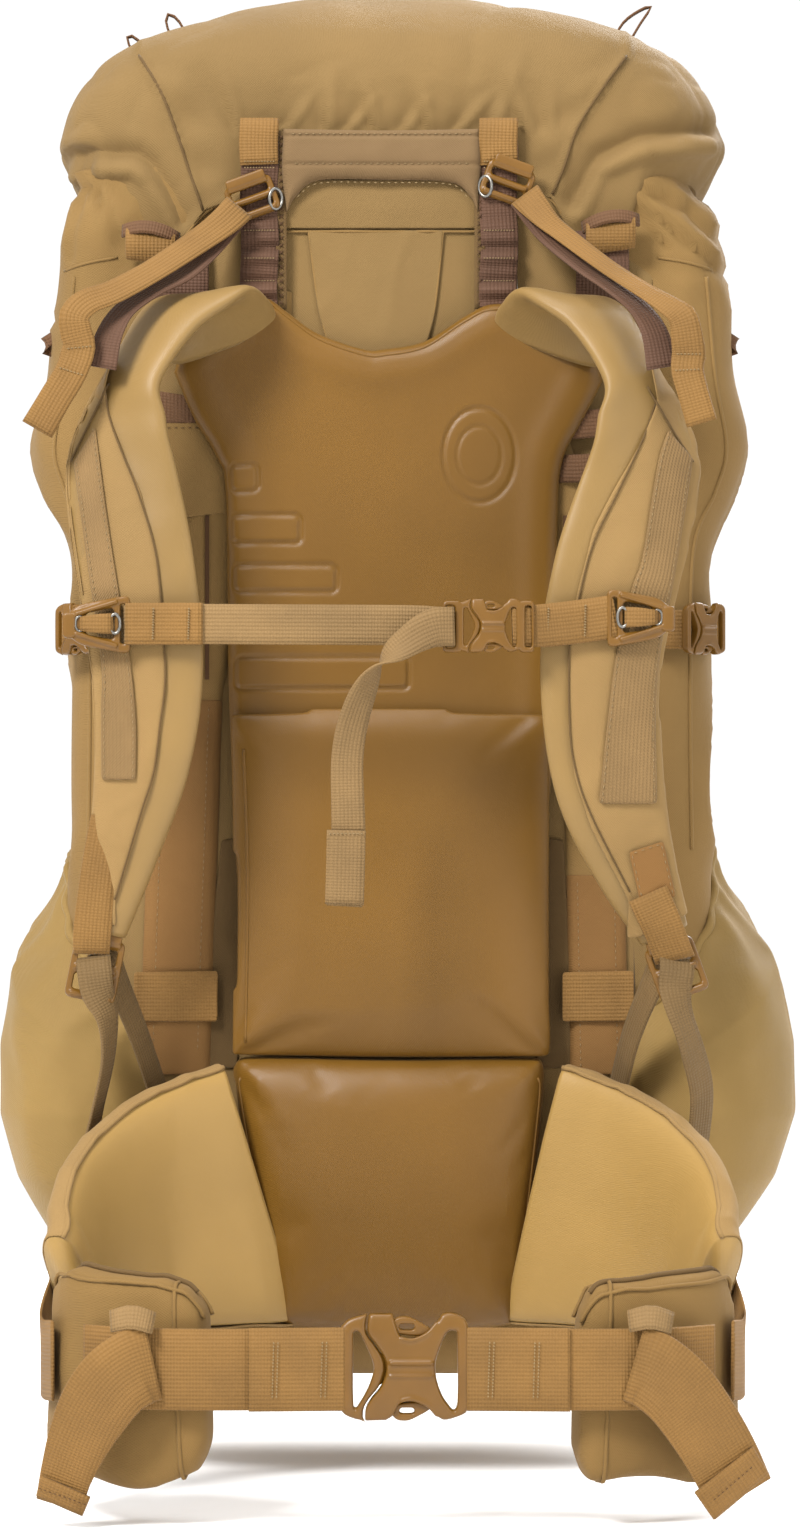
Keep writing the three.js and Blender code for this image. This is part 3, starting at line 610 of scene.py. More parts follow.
# ---------------------------------------------------------------- materials


def tone(colour, factor):
    return tuple(min(1.0, c * factor) for c in colour) + (1.0,)


SHADE = 0.385  # the studio light lifts every colour by about this much


def hex_colour(text):
    """Linear colour of the cloth itself, from the sRGB hex string that it shows under the lights."""
    values = [int(text[i:i + 2], 16) / 255 for i in (1, 3, 5)]
    return tuple(SHADE * (v / 12.92 if v <= 0.04045 else ((v + 0.055) / 1.055) ** 2.4) for v in values)


class Look:
    """A new material and the nodes that colour and roughen it."""

    def __init__(self, name, roughness, sheen=0.0, specular=0.5):
        self.material = bpy.data.materials.new(name)
        self.material.use_nodes = True
        self.nodes = self.material.node_tree.nodes
        self.join = self.material.node_tree.links.new
        self.shader = self.nodes["Principled BSDF"].inputs
        self.shader["Roughness"].default_value = roughness
        self.shader["Sheen Weight"].default_value = sheen
        self.shader["Sheen Roughness"].default_value = 0.45
        self.shader["Sheen Tint"].default_value = (1.0, 0.9, 0.72, 1)
        self.shader["Specular IOR Level"].default_value = specular

    def place(self):
        return self.nodes.new("ShaderNodeTexCoord").outputs["Object"]

    def noise(self, vector, scale, detail=3.0):
        node = self.nodes.new("ShaderNodeTexNoise")
        node.inputs["Scale"].default_value = scale
        node.inputs["Detail"].default_value = detail
        self.join(vector, node.inputs["Vector"])
        return node.outputs["Fac"]

    def axes(self, vector):
        """The three parts of a vector."""
        node = self.nodes.new("ShaderNodeSeparateXYZ")
        self.join(vector, node.inputs[0])
        return node.outputs

    def maths(self, operation, first, second):
        node = self.nodes.new("ShaderNodeMath")
        node.operation = operation
        for socket, value in zip(node.inputs, (first, second)):
            if isinstance(value, (int, float)):
                socket.default_value = value
            else:
                self.join(value, socket)
        return node.outputs[0]

    def add(self, first, second, share=1):
        """The sum of two values, the second one times its share."""
        if share != 1:
            second = self.maths("MULTIPLY", second, share)
        return self.maths("ADD", first, second)

    def wave(self, value, period):
        """A sine of a length in metres, from -1 to 1, with its period in millimetres."""
        angle = self.maths("MULTIPLY", value, 2 * math.pi / (period * MM))
        return self.maths("SINE", angle, 0.0)

    def colours(self, factor, colour, *stops):
        """Varies the colour with a value: each stop is a position and a brightness."""
        node = self.nodes.new("ShaderNodeValToRGB")
        elements = node.color_ramp.elements
        for element, (position, bright) in zip(elements, (stops[0], stops[-1])):
            element.position = position
            element.color = tone(colour, bright)
        for position, bright in stops[1:-1]:
            elements.new(position).color = tone(colour, bright)
        self.join(factor, node.inputs["Fac"])
        self.join(node.outputs["Color"], self.shader["Base Color"])

    def relief(self, height, distance, strength=1.0):
        """Small bumps, distance millimetres high."""
        node = self.nodes.new("ShaderNodeBump")
        node.inputs["Distance"].default_value = distance * MM
        node.inputs["Strength"].default_value = strength
        self.join(height, node.inputs["Height"])
        self.join(node.outputs["Normal"], self.shader["Normal"])
        return self.material


def cloth(name, colour, roughness=0.8, sheen=0.06, specular=0.14, weave=1.6, relief=0.25, crease=0.5):
    """Woven cloth: a grid of threads, broad colour variation and faint creases."""
    look = Look(name, roughness, sheen, specular)
    place = look.place()
    look.colours(look.noise(place, 9.0, 4.0), hex_colour(colour), (0.3, 0.9), (0.5, 1.0), (0.7, 1.1))
    axes = look.axes(place)
    level = look.add(axes["X"], axes["Y"])
    threads = look.maths("MULTIPLY", look.wave(level, weave), look.wave(axes["Z"], weave))
    fine = look.add(threads, look.noise(place, 420.0, 2.0), 1.6)
    creases = look.noise(place, 26.0, 5.0)
    height = look.add(look.maths("MULTIPLY", fine, relief), creases, crease * 6)
    return look.relief(height, 0.35)


def web_cloth(name, colour, rib=2.4, across=1.9):
    """Ribbed webbing, drawn along the strap's own lengths."""
    look = Look(name, 0.7, 0.05, 0.2)
    uv = look.nodes.new("ShaderNodeUVMap")
    uv.uv_map = "UVMap"
    axes = look.axes(uv.outputs["UV"])
    ribs, picks = look.wave(axes["X"], rib), look.wave(axes["Y"], across)
    broad = look.noise(look.place(), 22.0, 4.0)
    mix = look.add(look.add(broad, ribs, 0.05), picks, 0.04)
    look.colours(mix, hex_colour(colour), (0.3, 0.86), (0.5, 1.0), (0.72, 1.14))
    return look.relief(look.add(look.maths("MULTIPLY", ribs, 0.6), picks, 0.5), 0.22)


def moulded(name, colour, roughness=0.38):
    """Glass-filled buckle plastic with faint texture and flow marks."""
    look = Look(name, roughness, 0.0, 0.32)
    place = look.place()
    broad = look.noise(place, 35.0, 3.0)
    look.colours(broad, hex_colour(colour), (0.3, 0.9), (0.7, 1.1))
    rough = look.add(look.maths("MULTIPLY", broad, 0.2), roughness - 0.1)
    look.join(rough, look.shader["Roughness"])
    return look.relief(look.noise(place, 900.0, 2.0), 0.06, 0.6)


def metal(name, colour, roughness):
    look = Look(name, roughness)
    look.shader["Metallic"].default_value = 1.0
    scratch = look.noise(look.place(), 160.0, 4.0)
    look.colours(scratch, colour, (0.3, 0.85), (0.7, 1.1))
    return look.relief(scratch, 0.05)


NYLON = cloth("pack_cloth", "#a98753", crease=0.6)
NYLON_SIDE = cloth("side_cloth", "#b18b52", crease=0.6)
HANDLE_CLOTH = cloth("handle_cloth", "#a08058", 0.85, crease=0.3)
STRETCH = cloth("stretch_cloth", "#bf9a58", 0.6, 0.1, weave=1.2, crease=0.25)
FACING = cloth("pad_facing", "#986b24", 0.36, 0.04, 0.24, 1.1, 0.1, 0.08)
STRAP_FACING = cloth("strap_facing", "#ba9456", 0.4, 0.05, 0.24, 1.1, 0.1, 0.08)
WING_FACING = cloth("wing_facing", "#daae62", 0.36, 0.05, 0.26, 1.1, 0.1, 0.1)
PATCH = cloth("strap_patch_cloth", "#b28148", crease=0.2)
POD_CLOTH = cloth("pod_cloth", "#ab854c")
STRAP_COVER = cloth("strap_cover", "#c39c62", crease=0.35)
DARK_PANEL = cloth("dark_panel_cloth", "#86683f", crease=0.4)
SLEEVE = cloth("sleeve_cloth", "#a87a44", 0.75)
WEBBING = web_cloth("webbing", "#ae8042")
WEBBING_GREY = web_cloth("webbing_grey", "#957548")
WEBBING_PALE = web_cloth("webbing_pale", "#b08b58")
WEBBING_DARK = web_cloth("webbing_dark", "#855d3c")
LADDER_WEB = web_cloth("ladder_webbing", "#7a5640")
THREAD = cloth("thread", "#c6a878", relief=0.0, crease=0.0)
THREAD_DARK = cloth("thread_dark", "#6d4c30", relief=0.0, crease=0.0)
BUCKLE = moulded("buckle_plastic", "#976820")
SHEET_PLASTIC = moulded("sheet_plastic", "#6b5232", 0.6)
STEEL = metal("steel", (0.2, 0.19, 0.17), 0.4)
ALUMINIUM = metal("stay_metal", (0.6, 0.61, 0.62), 0.35)

# ---------------------------------------------------------------- bag

# Height, half width, rear and front of the bag's outside.
BAG = np.array([
    (8, 191, 12, 262), (-2, 194, 11, 264), (-12, 198, 10.5, 267), (-24, 206, 10, 271),
    (-42, 213, 10, 277), (-80, 217, 10, 284), (-120, 222, 10, 290), (-165, 232, 10, 294),
    (-200, 224, 10, 296), (-245, 207, 10, 297), (-330, 206, 10, 298), (-470, 207, 10, 298),
    (-600, 207, 10, 296), (-680, 203, 10, 288), (-725, 194, 10, 278), (-752, 182, 14, 262),
    (-765, 169, 26, 245),
], float)
# Folds below the lid's corners, as (x, z) lines seen from the wearer's side.
BAG_FOLDS = [[(-190, -4), (-180, -18), (-173, -40)], [(-192, -4), (-201, -26), (-206, -48)],
             [(-184, 0), (-187, -24)], [(158, -14), (182, -32), (206, -52)],
             [(160, -6), (190, -16), (210, -36)], [(160, -22), (176, -40)]]
BAG_REAR_RADIUS = 36
BAG_FRONT_RADII = (92, 70)  # across and from front to back
ROUND = 400  # places round the bag that things are laid by


def outline_round(half, back, front, rear_radius, nose_radii, steps, count):
    """Evenly spaced (x, y) points round a bag at one height, from the middle of its back."""
    quarter = np.linspace(0, math.pi / 2, steps)
    sine, cosine = np.sin(quarter), np.cos(quarter)
    rx, ry = nose_radii
    rear = np.stack([half - rear_radius + rear_radius * sine, back + rear_radius - rear_radius * cosine], 1)
    nose = np.stack([half - rx + rx * cosine, front - ry + ry * sine], 1)
    right = np.vstack([[(0, back)], rear, nose, [(0, front)]])
    return resampled(np.vstack([right, right[::-1][1:] * (-1, 1)]), count, endpoint=False)


def bag_rows(heights, count):
    """Points round the bag at each height, shape (heights, count, 3)."""
    fine = smooth_curve(BAG, 400)
    fine = fine[np.argsort(fine[:, 0])]
    rows = []
    rx, ry = BAG_FRONT_RADII
    for z in heights:
        half, back, front = (np.interp(z, fine[:, 0], fine[:, k]) for k in (1, 2, 3))
        outline = outline_round(half, back, front, BAG_REAR_RADIUS, (min(rx, half * 0.6), ry), 12, count)
        rows.append(np.column_stack([outline, np.full(count, z)]))
    return np.array(rows)


def build_bag():
    heights = np.r_[np.arange(8, -700, -6.0), np.linspace(-700, -765, 14)]
    rows = bag_rows(heights, 300)
    normal = -grid_normals(rows, loop=True)
    x, y, z = rows[..., 0], rows[..., 1], rows[..., 2]
    side = np.clip((abs(x) - 150) / 40, 0, 1)
    lift = 4.2 * (ridged(rows, 76, 1, (1, 1, 1.7)) - 0.3) * side
    lift += 3.4 * soft_noise(rows, 120, 2) * side
    lift += 3 * soft_noise(rows, 60, 3) * np.clip((y - 150) / 60, 0, 1)
    # the top is gathered under the lid, and the side walls fold over the seam below it
    lift += 4 * bump(z, -16, 16) * ridged(rows, 22, 4, (1, 1, 3)) * side
    for line in BAG_FOLDS:
        near = np.clip((110 - y) / 60, 0, 1)
        lift += near * (4.5 * crease(x, z, [(px, pz + 5) for px, pz in line], 5) - 6 * crease(x, z, line, 3))
    lift -= 2.5 * bump(z, -52 - 0.1 * abs(x - 150), 2.4) * side
    rows = rows + normal * lift[..., None]
    angle = np.linspace(0, 2 * math.pi, rows.shape[1], endpoint=False)

    def shrunk(ring, share, level):
        centre = ring.mean(axis=0)
        ring = centre + (ring - centre) * share
        ring[:, 2] = level
        return ring

    # a gathered collar closes the top, and a flat floor the bottom
    collar = [shrunk(rows[0], share, 8 - drop + 2.2 * np.sin(22 * angle + share) * share)
              for share, drop in ((0.06, 3), (0.3, 4), (0.6, 4), (0.85, 2), (0.96, 0.5))]
    floor = [shrunk(rows[-1], share, level)
             for share, level in ((0.9, -769), (0.75, -770), (0.5, -770), (0.25, -770), (0.06, -770))]
    piece = tube_piece("bag_body", np.vstack([collar, rows, floor]), NYLON_SIDE)
    dress(piece, "pack", (
        "bag_left_side", "bag_right_side", "bag_back_panel", "bag_front_panel", "bag_floor"))
    # a stitched seam below the gathers, and piping down each rear corner
    surface = Surface(piece)
    for name, sign, shift in (("left", -1, -3), ("right", 1, 0)):
        seam = [(sign * 172 + shift, -50), (sign * 190 + shift, -53), (sign * 207 + shift, -57)]
        laid_piping(f"bag_seam_{name}", surface, seam, "pack", NYLON_SIDE, 1.0, 0.2)
        edge = [(sign * x, z) for x, z in ((203, -62), (209, -127), (216, -172), (209, -200), (195, -238),
                                           (193, -330), (194, -430))]
        laid_piping(f"bag_piping_{name}", surface, edge, "pack", NYLON_SIDE, 1.4, 0.2)
        tab = ((205, 40, -99), (222, 41, -101), (221, 44, -107), (204, 45, -106))
        run = upright([(sign * x, y, z) for x, y, z in tab], 9)
        webbing(f"bag_tab_{name}", run, "pack", material=WEBBING_DARK, thick=1.5)


def bag_surface(z, share, out=1.2):
    """A point outside the bag's wall: share of the way round from the middle of the back, to +X first."""
    row = bag_rows([z], ROUND)[0]
    i = int(round(share % 1 * ROUND)) % ROUND
    way = unit(row[(i + 1) % ROUND] - row[i - 1])
    normal = np.array([way[1], -way[0], 0])
    return row[i] + normal * out, normal


def bag_strip(name, heights, share, width, material, out=1.6, thick=1.2):
    """A taped seam up the bag's wall at one share of the way round."""
    stations = np.array([np.concatenate(bag_surface(z, share, out)) for z in heights])
    along = unit(np.gradient(stations[:, :3], axis=0))
    across = np.cross(stations[:, 3:], along)
    full = [(*s[:3], *a, width) for s, a in zip(stations, across)]
    return webbing(name, full, "pack", material=material, thick=thick)


# ---------------------------------------------------------------- lid

# Height, half width, rear and front of the lid's outside.
LID = np.array([
    (-12, 198, 7.2, 284), (-5, 201, 7.2, 288), (4, 206, 7.4, 292), (14, 211, 7.6, 298), (24, 215, 7.8, 303),
    (34, 213, 8, 304), (50, 208, 8.5, 304), (66, 199, 10, 301),
    (82, 185, 16, 294), (97, 163, 29, 281), (110, 136, 50, 264), (120, 105, 76, 240), (127, 71, 105, 213),
    (131, 36, 134, 186), (132, 8, 154, 165),
], float)


def lid_outline(half, back, front, count):
    radius = min(64, half * 0.8, (front - back) * 0.45)
    return outline_round(half, back, front, radius, (radius, radius), 10, count)


# The lid's sewn rear hem and its free part: two bodies and two places between them, in metres.
LID_BLEND = ("pack", "lid", (0, 0.009, 0.010), (0, 0.0211, 0.0277))
# The seams between the lid's middle and its side panels, as (x, z) up the rear wall.
LID_SEAMS = {-1: [(-120, -20), (-129, 6), (-137, 30), (-147, 56), (-162, 82)],
             1: [(104, -10), (111, 6), (120, 32), (135, 56), (152, 80)]}
# The lid's hem across the rear: x and height. Each side panel narrows to a tongue that runs into its keeper.
LID_HEM = [(-205, -3), (-196, -6), (-190, 1), (-183, 2), (-178, -8), (-170, -33), (-150, -40), (-131, -37),
           (-119, -20), (-100, -13), (88, -11), (104, -12), (113, -30), (125, -38), (149, -37), (156, -14),
           (163, -4), (171, -1), (182, 0), (194, 0), (203, -6)]
# Folds of the side panels, as (x, z) lines: the cloth above them stands proud of the cloth below.
LID_FOLDS = [[(-219, 12), (-190, 13), (-163, 11), (-154, 4), (-143, -14), (-134, -34)],
             [(118, -22), (126, -8), (134, 9), (160, 22), (205, 30)]]
# Gathers that run up from the handle's seam: foot x, lean and length.
GATHERS = [(-100, -0.5, 50), (-70, 0.45, 30), (-44, -0.15, 46), (-30, 0.5, 26), (-12, -0.45, 40),
           (6, 0.35, 24), (22, -0.4, 36), (40, 0.6, 30), (62, 0.15, 60), (84, -0.5, 44), (98, -0.2, 34)]


def crease(x, z, line, width):
    """How near (x, z) places are to a line of points: 1 on it, fading to 0."""
    best = np.full(x.shape, 1e9)
    for (x0, z0), (x1, z1) in zip(line, line[1:]):
        t = np.clip(((x - x0) * (x1 - x0) + (z - z0) * (z1 - z0)) / ((x1 - x0) ** 2 + (z1 - z0) ** 2), 0, 1)
        best = np.minimum(best, np.hypot(x - x0 - t * (x1 - x0), z - z0 - t * (z1 - z0)))
    return np.exp(-((best / width) ** 2))


def gathered(x, z, foot):
    """Ridges and dimples that fan up from a gathered seam at z = foot."""
    height = np.zeros(x.shape)
    rise = z - foot
    for at, lean, length in GATHERS:
        line = at + lean * rise
        fade = np.clip(1 - rise / length, 0, 1) ** 0.8 * np.clip((rise + 4) / 8, 0, 1)
        width = 4 + 0.16 * np.clip(rise, 0, 80)
        height += fade * (bump(x, line, width) - 1.2 * bump(x, line + width * 1.3, width * 0.45))
    return height


def build_lid():
    """The lid, sewn to the bag along its rear hem."""
    count = 420
    levels = smooth_curve(LID, 110)
    rows = np.array([np.column_stack([lid_outline(*level[1:], count), np.full(count, level[0])])
                     for level in levels])
    # the hem drops below its plain level, or rises above it, along the rear
    base = rows[0]
    hem = np.interp(base[:, 0], *zip(*LID_HEM))
    hem = np.where(base[:, 1] < 60, hem, -12 + (hem + 12) * np.clip((95 - base[:, 1]) / 35, 0, 1))
    low = np.clip((34 - rows[..., 2]) / 46, 0, 1)
    rows[..., 2] += low * (hem + 12)[None]
    normal = -grid_normals(rows, loop=True)
    x, y, z = rows[..., 0], rows[..., 1], rows[..., 2]
    rear = np.clip((80 - y) / 60, 0, 1)
    outer = np.clip((abs(x + 4) - 130) / 50, 0, 1)
    lift = 2.6 * (ridged(rows, 120, 11, (0.8, 1, 1.2)) - 0.3)
    lift += 4 * soft_noise(rows, 130, 12)
    lift += 1.4 * (ridged(rows, 34, 13) - 0.3) * np.clip(outer, 0.2, 1)
    lift += 3.2 * gathered(x, z, 31) * rear
    # seams pull the cloth in, and it puckers beside them
    for side, line in LID_SEAMS.items():
        at = np.interp(z, [p[1] for p in line], [p[0] for p in line])
        fade = np.clip((130 - y) / 90, 0, 1) * np.clip((112 - z) / 25, 0, 1)
        lift -= 2.6 * bump(x, at, 2.2) * fade
        lift += 1.2 * bump(x, at - side * 13, 9) * np.sin(z / 5.2) * fade
    for line in LID_FOLDS:
        near = np.clip((95 - y) / 50, 0, 1)
        lift += near * 6 * crease(x, z, [(px, pz + 6) for px, pz in line], 7)
        lift -= near * 6 * crease(x, z, [(px, pz - 5) for px, pz in line], 5)
    lift *= np.clip((rows[..., 2] - rows[:1, :, 2]) / 10, 0.25, 1)
    rows = rows + normal * lift[..., None]
    n, m = rows.shape[:2]
    faces = grid_faces(n, m, loop=True)
    faces.append(tuple(reversed(range((n - 1) * m, n * m))))
    piece = make_piece("lid_cloth", rows, faces, NYLON)
    add_modifiers(piece, 1.6, -1.0)
    dress(piece, LID_BLEND, "lid_shell")
    rim = rows[0, ::3]
    tube("lid_hem", np.vstack([rim, rim[:1]]), 1.3, NYLON_SIDE, LID_BLEND, 6, 500)


# ---------------------------------------------------------------- back panel, stays and ladders


def pack_cloth(name, rows, material, thick):
    """A sheet of cloth that is sewn to the bag."""
    return dress(sheet_piece(name, rows, material, thick), "pack")


def build_back_panel():
    """Cloth over the frame sheet, with a centre panel and a hem band below the handle."""
    flat = quad((-168, -8), (168, -8), (-176, -700), (176, -700), 150, 76)
    x, z = flat[..., 0], flat[..., 1]
    rows = at_depth(flat, 6.6)
    rows[..., 1] += 3.2 * np.clip((abs(x) - 150) / 20, 0, 1)
    rows[..., 1] += 5.5 * np.clip((z + 66) / 22, 0, 1) * np.clip((abs(x) - 102) / 12, 0, 1)
    rows[..., 1] -= 1.6 * ridged(rows, 60, 21, (0.6, 1, 2.2))
    cover = pack_cloth("back_panel_cloth", rows, NYLON, 0.8)
    band = quad((-72, -1), (60, -1), (-70, -32), (58, -32), 14, 40)
    rows = at_depth(band, 3.4 - 2.2 * bump(band[..., 1], -17, 12))
    rows[..., 1] += 0.8 * soft_noise(rows, 30, 22)
    pack_cloth("handle_band", rows, NYLON, 1.0)
    centre = coons([(-52, -33), (34, -33)], [(-38, -112), (22, -112)], [(-52, -33), (-47, -80), (-38, -112)],
                   [(34, -33), (30, -80), (22, -112)], 30, 34)
    rows = at_depth(centre, 4.4)
    rows[..., 1] -= 0.9 * ridged(rows, 34, 23, (1, 1, 2))
    pack_cloth("centre_panel", rows, NYLON, 0.9)
    surface = Surface(cover)
    hem = [[(-70, -30.5), (58, -30.5)], [(-70, -33.8), (58, -33.8)]]
    seams = [[(-52, -34), (-46, -80), (-39, -108)], [(34, -34), (29, -80), (23, -108)]]
    for k, line in enumerate(hem + seams):
        laid_piping(f"centre_seam_{k}", surface, line, "pack", NYLON_SIDE, 0.9, 1.6)


# Side, x of the sleeve's middle at its top and bottom, and half its width.
SLEEVES = {"left": (-122, -138, 23), "right": (125, 134, 19)}


def sleeve_middle(side, z):
    top_x, bottom_x, _ = SLEEVES[side]
    sign = -1 if side == "left" else 1
    return np.interp(z, [-574, -330, -200, -95, -20],
                     [bottom_x, (top_x + bottom_x) / 2, sign * 106, sign * 80 - 6, sign * 76.5 - 7])


def sleeve_grid(side, low, high, swell=5.6):
    half = SLEEVES[side][2]
    u = np.linspace(-1, 1, 15)
    z = np.linspace(high, low, int((high - low) / 4))
    x = sleeve_middle(side, z)[:, None] + half * u[None]
    y = 6.2 - swell * np.sqrt(np.clip(1 - np.abs(u) ** 3.2, 0, 1))[None] + 0 * x
    rows = np.stack([x, y, z[:, None] + 0 * x], 2)
    rows[..., 1] += 0.7 * soft_noise(rows, 26, 31, (1, 1, 2)) * (1 - u**2)
    return rows


def build_sleeves():
    """Each stay lies in a sleeve: pack cloth above, and a stitched brown sleeve with a loop band below."""
    for side, (top_x, bottom_x, half) in SLEEVES.items():
        sign = -1 if side == "left" else 1
        seam_z = -334 if side == "left" else -446
        pack_cloth(f"sleeve_upper_{side}", sleeve_grid(side, seam_z - 6, -72), NYLON_SIDE, 1.0)
        rows = sleeve_grid(side, -574, seam_z)
        rows[..., 1] -= 0.8
        piece = sheet_piece(f"sleeve_{side}", rows, SLEEVE, 1.2)
        dress(piece, "pack", f"stay_sleeve_{side}")
        bar = [(float(sleeve_middle(side, z)), 4.0 if z < -60 else 2.6, z, 1, 0, 0, 19, 3)
               for z in range(24, -570, -30)]
        stay = tube_piece(f"stay_bar_{side}", sweep_rings(bar, 60, superellipse(16, 8, 3)), ALUMINIUM)
        dress(stay, "pack", f"stay_{side}")
        surface = Surface(piece)
        levels = np.arange(seam_z - 4, -572, -20)
        edges = [[(float(sleeve_middle(side, z)) + half * share, z) for z in levels]
                 for share in (-0.62, 0.62)]
        laid_stitches(f"sleeve_stitches_{side}", surface, edges, "pack", THREAD, 0.3)
        low = bottom_x - sign
        band = [(low - half - 4, -508), (low + half + 4, -507)]
        foot = [(low - half - 4, -540), (low + half + 4, -540)]
        laid_strip(f"sleeve_loop_{side}", surface, band, foot, "pack", "webbing", WEBBING, 2.0, 1.6,
                   True, 3.0, 8)
        inner = -sign
        dark = quad((top_x + inner * 14, -424), (top_x + inner * 36, -420),
                    (bottom_x + inner * 14, -570), (bottom_x + inner * 40, -570), 40, 12)
        rows = at_depth(dark, 4.6)
        rows[..., 1] -= 0.8 * ridged(rows, 22, 35, (1, 1, 2))
        pack_cloth(f"sleeve_panel_{side}", rows, DARK_PANEL, 0.9)
    # beside the yoke: painted shade as a thin dark strip in the gap on each side; a strip of hook tape over a
    # cloth panel on one side, and dark loops on the other
    for side, x, low in (("left", -117, -330), ("right", 112, -400)):
        gap = across_x([(x, -0.7, z) for z in range(-216, low, -35)], 2.6)
        webbing(f"painted_gap_shade_{side}", gap, "pack", material=THREAD_DARK, thick=1.0)
    hook = quad((-150, -136), (-124, -140), (-150, -157), (-124, -157), 8, 10)
    dress(sheet_piece("hook_tape", at_depth(hook, -1.0), WEBBING_DARK, 1.4), "pack")
    flap = quad((-152, -156), (-104, -156), (-148, -219), (-98, -214), 20, 18)
    pack_cloth("hook_flap", at_depth(flap, -0.4 - 0.5 * bump(flap[..., 1], -190, 20)), NYLON_SIDE, 1.2)
    stitches("hook_stitches", [([(-148, -1.6, -160), (-108, -1.6, -160)], TO_WEARER)], "pack", THREAD_DARK)
    for k, z in enumerate((-158, -186)):
        loop = upright([(104, -0.5, z), (122, -3.5, z), (142, -0.5, z + 2)], 18)
        webbing(f"yoke_loop_{k}", loop, "pack", material=WEBBING_DARK)


def build_ladders():
    """Webbing loops over the tops of the stays, rippled and bar-tacked below the handle."""
    for side, x, inner in (("left", -83.5, 14), ("right", 69.5, -12)):
        z = np.linspace(36, -82, 90)
        ripple = np.clip((-22 - z) / 14, 0, 1)
        y = -2.4 - ripple * (1.6 + 1.9 * np.sin(z / 3.1) + 1.1 * np.sin(z / 1.7))
        y += 2.2 * np.clip((z - 24) / 12, 0, 1) ** 2
        run = across_x([(x + 0.6 * math.sin(h / 9), d, h) for h, d in zip(z, y)], 24)
        webbing(f"ladder_web_{side}", run, "pack", f"ladder_{side}", LADDER_WEB, 130, 1.6)
        back = across_x([(x, 1.5, 34), (x, 2.6, 0), (x, 3.0, -80)], 24)
        webbing(f"ladder_back_{side}", back, "pack", material=LADDER_WEB, thick=1.4)
        top = across_x([(x, 3.5, 36), (x, -1.5, 37.5), (x, -4.4, 34), (x - 0.5, -4.6, 22)], 25)
        webbing(f"ladder_top_{side}", top + across_x([(x, -4.4, 8)], 24.5), "pack", thick=1.8)
        cx = x + inner
        strip = across_x([(cx, -0.6, 30), (cx, -1.4, -20), (cx, -0.6, -84)], 7)
        webbing(f"ladder_edge_{side}", strip, "pack", material=DARK_PANEL, thick=2.4)
        zig = []
        for k in range(24):
            low, high = 28 - 4.6 * k, 28 - 4.6 * (k + 1)
            for lean in (-2.4, 2.4):
                zig.append(([(cx + lean, -3.0, low), (cx - lean, -3.0, high)], TO_WEARER))
        stitches(f"ladder_zigzag_{side}", zig, "pack", THREAD_DARK, pitch=5, length=5.6, width=0.9)
        tacks = []
        for level in (10, 6, -34, -52, -66):
            near = float(np.interp(-level, -z, y)) - (3.6 if level > 0 else 1.4)
            tacks.append(([(x - 10, near, level), (x + 10, near, level)], TO_WEARER))
        stitches(f"ladder_tacks_{side}", tacks, "pack", THREAD, pitch=1.7, length=1.5, width=1.0)
    # the rolled keepers that take the tongues of the lid's side panels
    for side, sign, x, z in (("left", -1, -153, -46), ("right", 1, 141, -39)):
        tilt = -0.14 * sign
        ring = []
        for k in range(25):
            a = (1.1 + 1.8 * k / 24) * math.pi
            ring.append((x, -3.5 - 6 * math.cos(a), z + 2 + 9.5 * math.sin(a), 1, 0, -tilt, 32))
        webbing(f"lid_keeper_{side}_roll", ring, "pack", steps=40, thick=2.2)
        loop = [(x + 18 * u, -9.5 + 6 * abs(u) ** 3, z + 9 + tilt * -18 * u + 4.5 * (1 - u * u),
                 0, 0.45, 1, 9) for u in np.linspace(-1, 1, 9)]
        webbing(f"lid_keeper_{side}_loop", loop, "pack", material=WEBBING_DARK)
        x = -134 if sign < 0 else 135
        drop = across_x([(x, 4, z + 6), (x + 1, -1.5, z - 12), (x + 1, -2.5, z - 28), (x + 1, 5, z - 40)], 34)
        webbing(f"lid_keeper_tab_{side}", drop, "pack", material=LADDER_WEB)


def build_handle():
    """The padded grab handle between the ladders."""
    def grip_shape(x, z, d):
        grooves = 1.5 * bump(z, 26.5, 1.2) + 1.1 * bump(z, 8, 1.4)
        return 1.6 * bump(z, 14, 11) - grooves + 0.9 * soft_noise(np.stack([x, 0 * x, z], 2), 16, 41)

    bottom = [(-66, -22), (-60, -12), (-46, -2), (-5, -1.5), (38, -3), (51, -12), (56, -21)]
    borders = ([(-68, 31), (-5, 30), (57, 31)], bottom, [(-68, 31), (-69, 4), (-66, -22)],
               [(57, 31), (58, 4), (56, -21)])
    grip = quilted("handle_grip", borders, -2.6, 5.0, 7, HANDLE_CLOTH, "pack", "grab_handle",
                   (60, 100), grip_shape)
    rows = [[(-64, 27.5), (53, 27.5)], [(-62, 8.5), (51, 8.5)],
            [(-60, -14), (-46, -4.5), (-5, -4), (38, -5), (50, -14)]]
    laid_stitches("handle_stitches", Surface(grip), rows, "pack", THREAD, 0.3)


# ---------------------------------------------------------------- yoke and pads


def bar_groove(x, z, box):
    """A rounded rectangle pressed into foam: a groove round a slightly raised bar."""
    x0, z0, x1, z1 = box
    round_by = 4
    qx = abs(x - (x0 + x1) / 2) - (abs(x1 - x0) / 2 - round_by)
    qz = abs(z - (z0 + z1) / 2) - (abs(z1 - z0) / 2 - round_by)
    outside = np.hypot(np.maximum(qx, 0), np.maximum(qz, 0)) + np.minimum(np.maximum(qx, qz), 0) - round_by
    return 0.55 * np.clip(-outside / 2, 0, 1) - 1.5 * bump(outside, 0, 1.3)


# The torso-length bars: left, top, right, bottom.
SIZE_BARS = [(-102, -184, -84, -201), (-102, -216, -57, -234), (-100, -248, -34, -265),
             (-99, -307, 12, -327)]


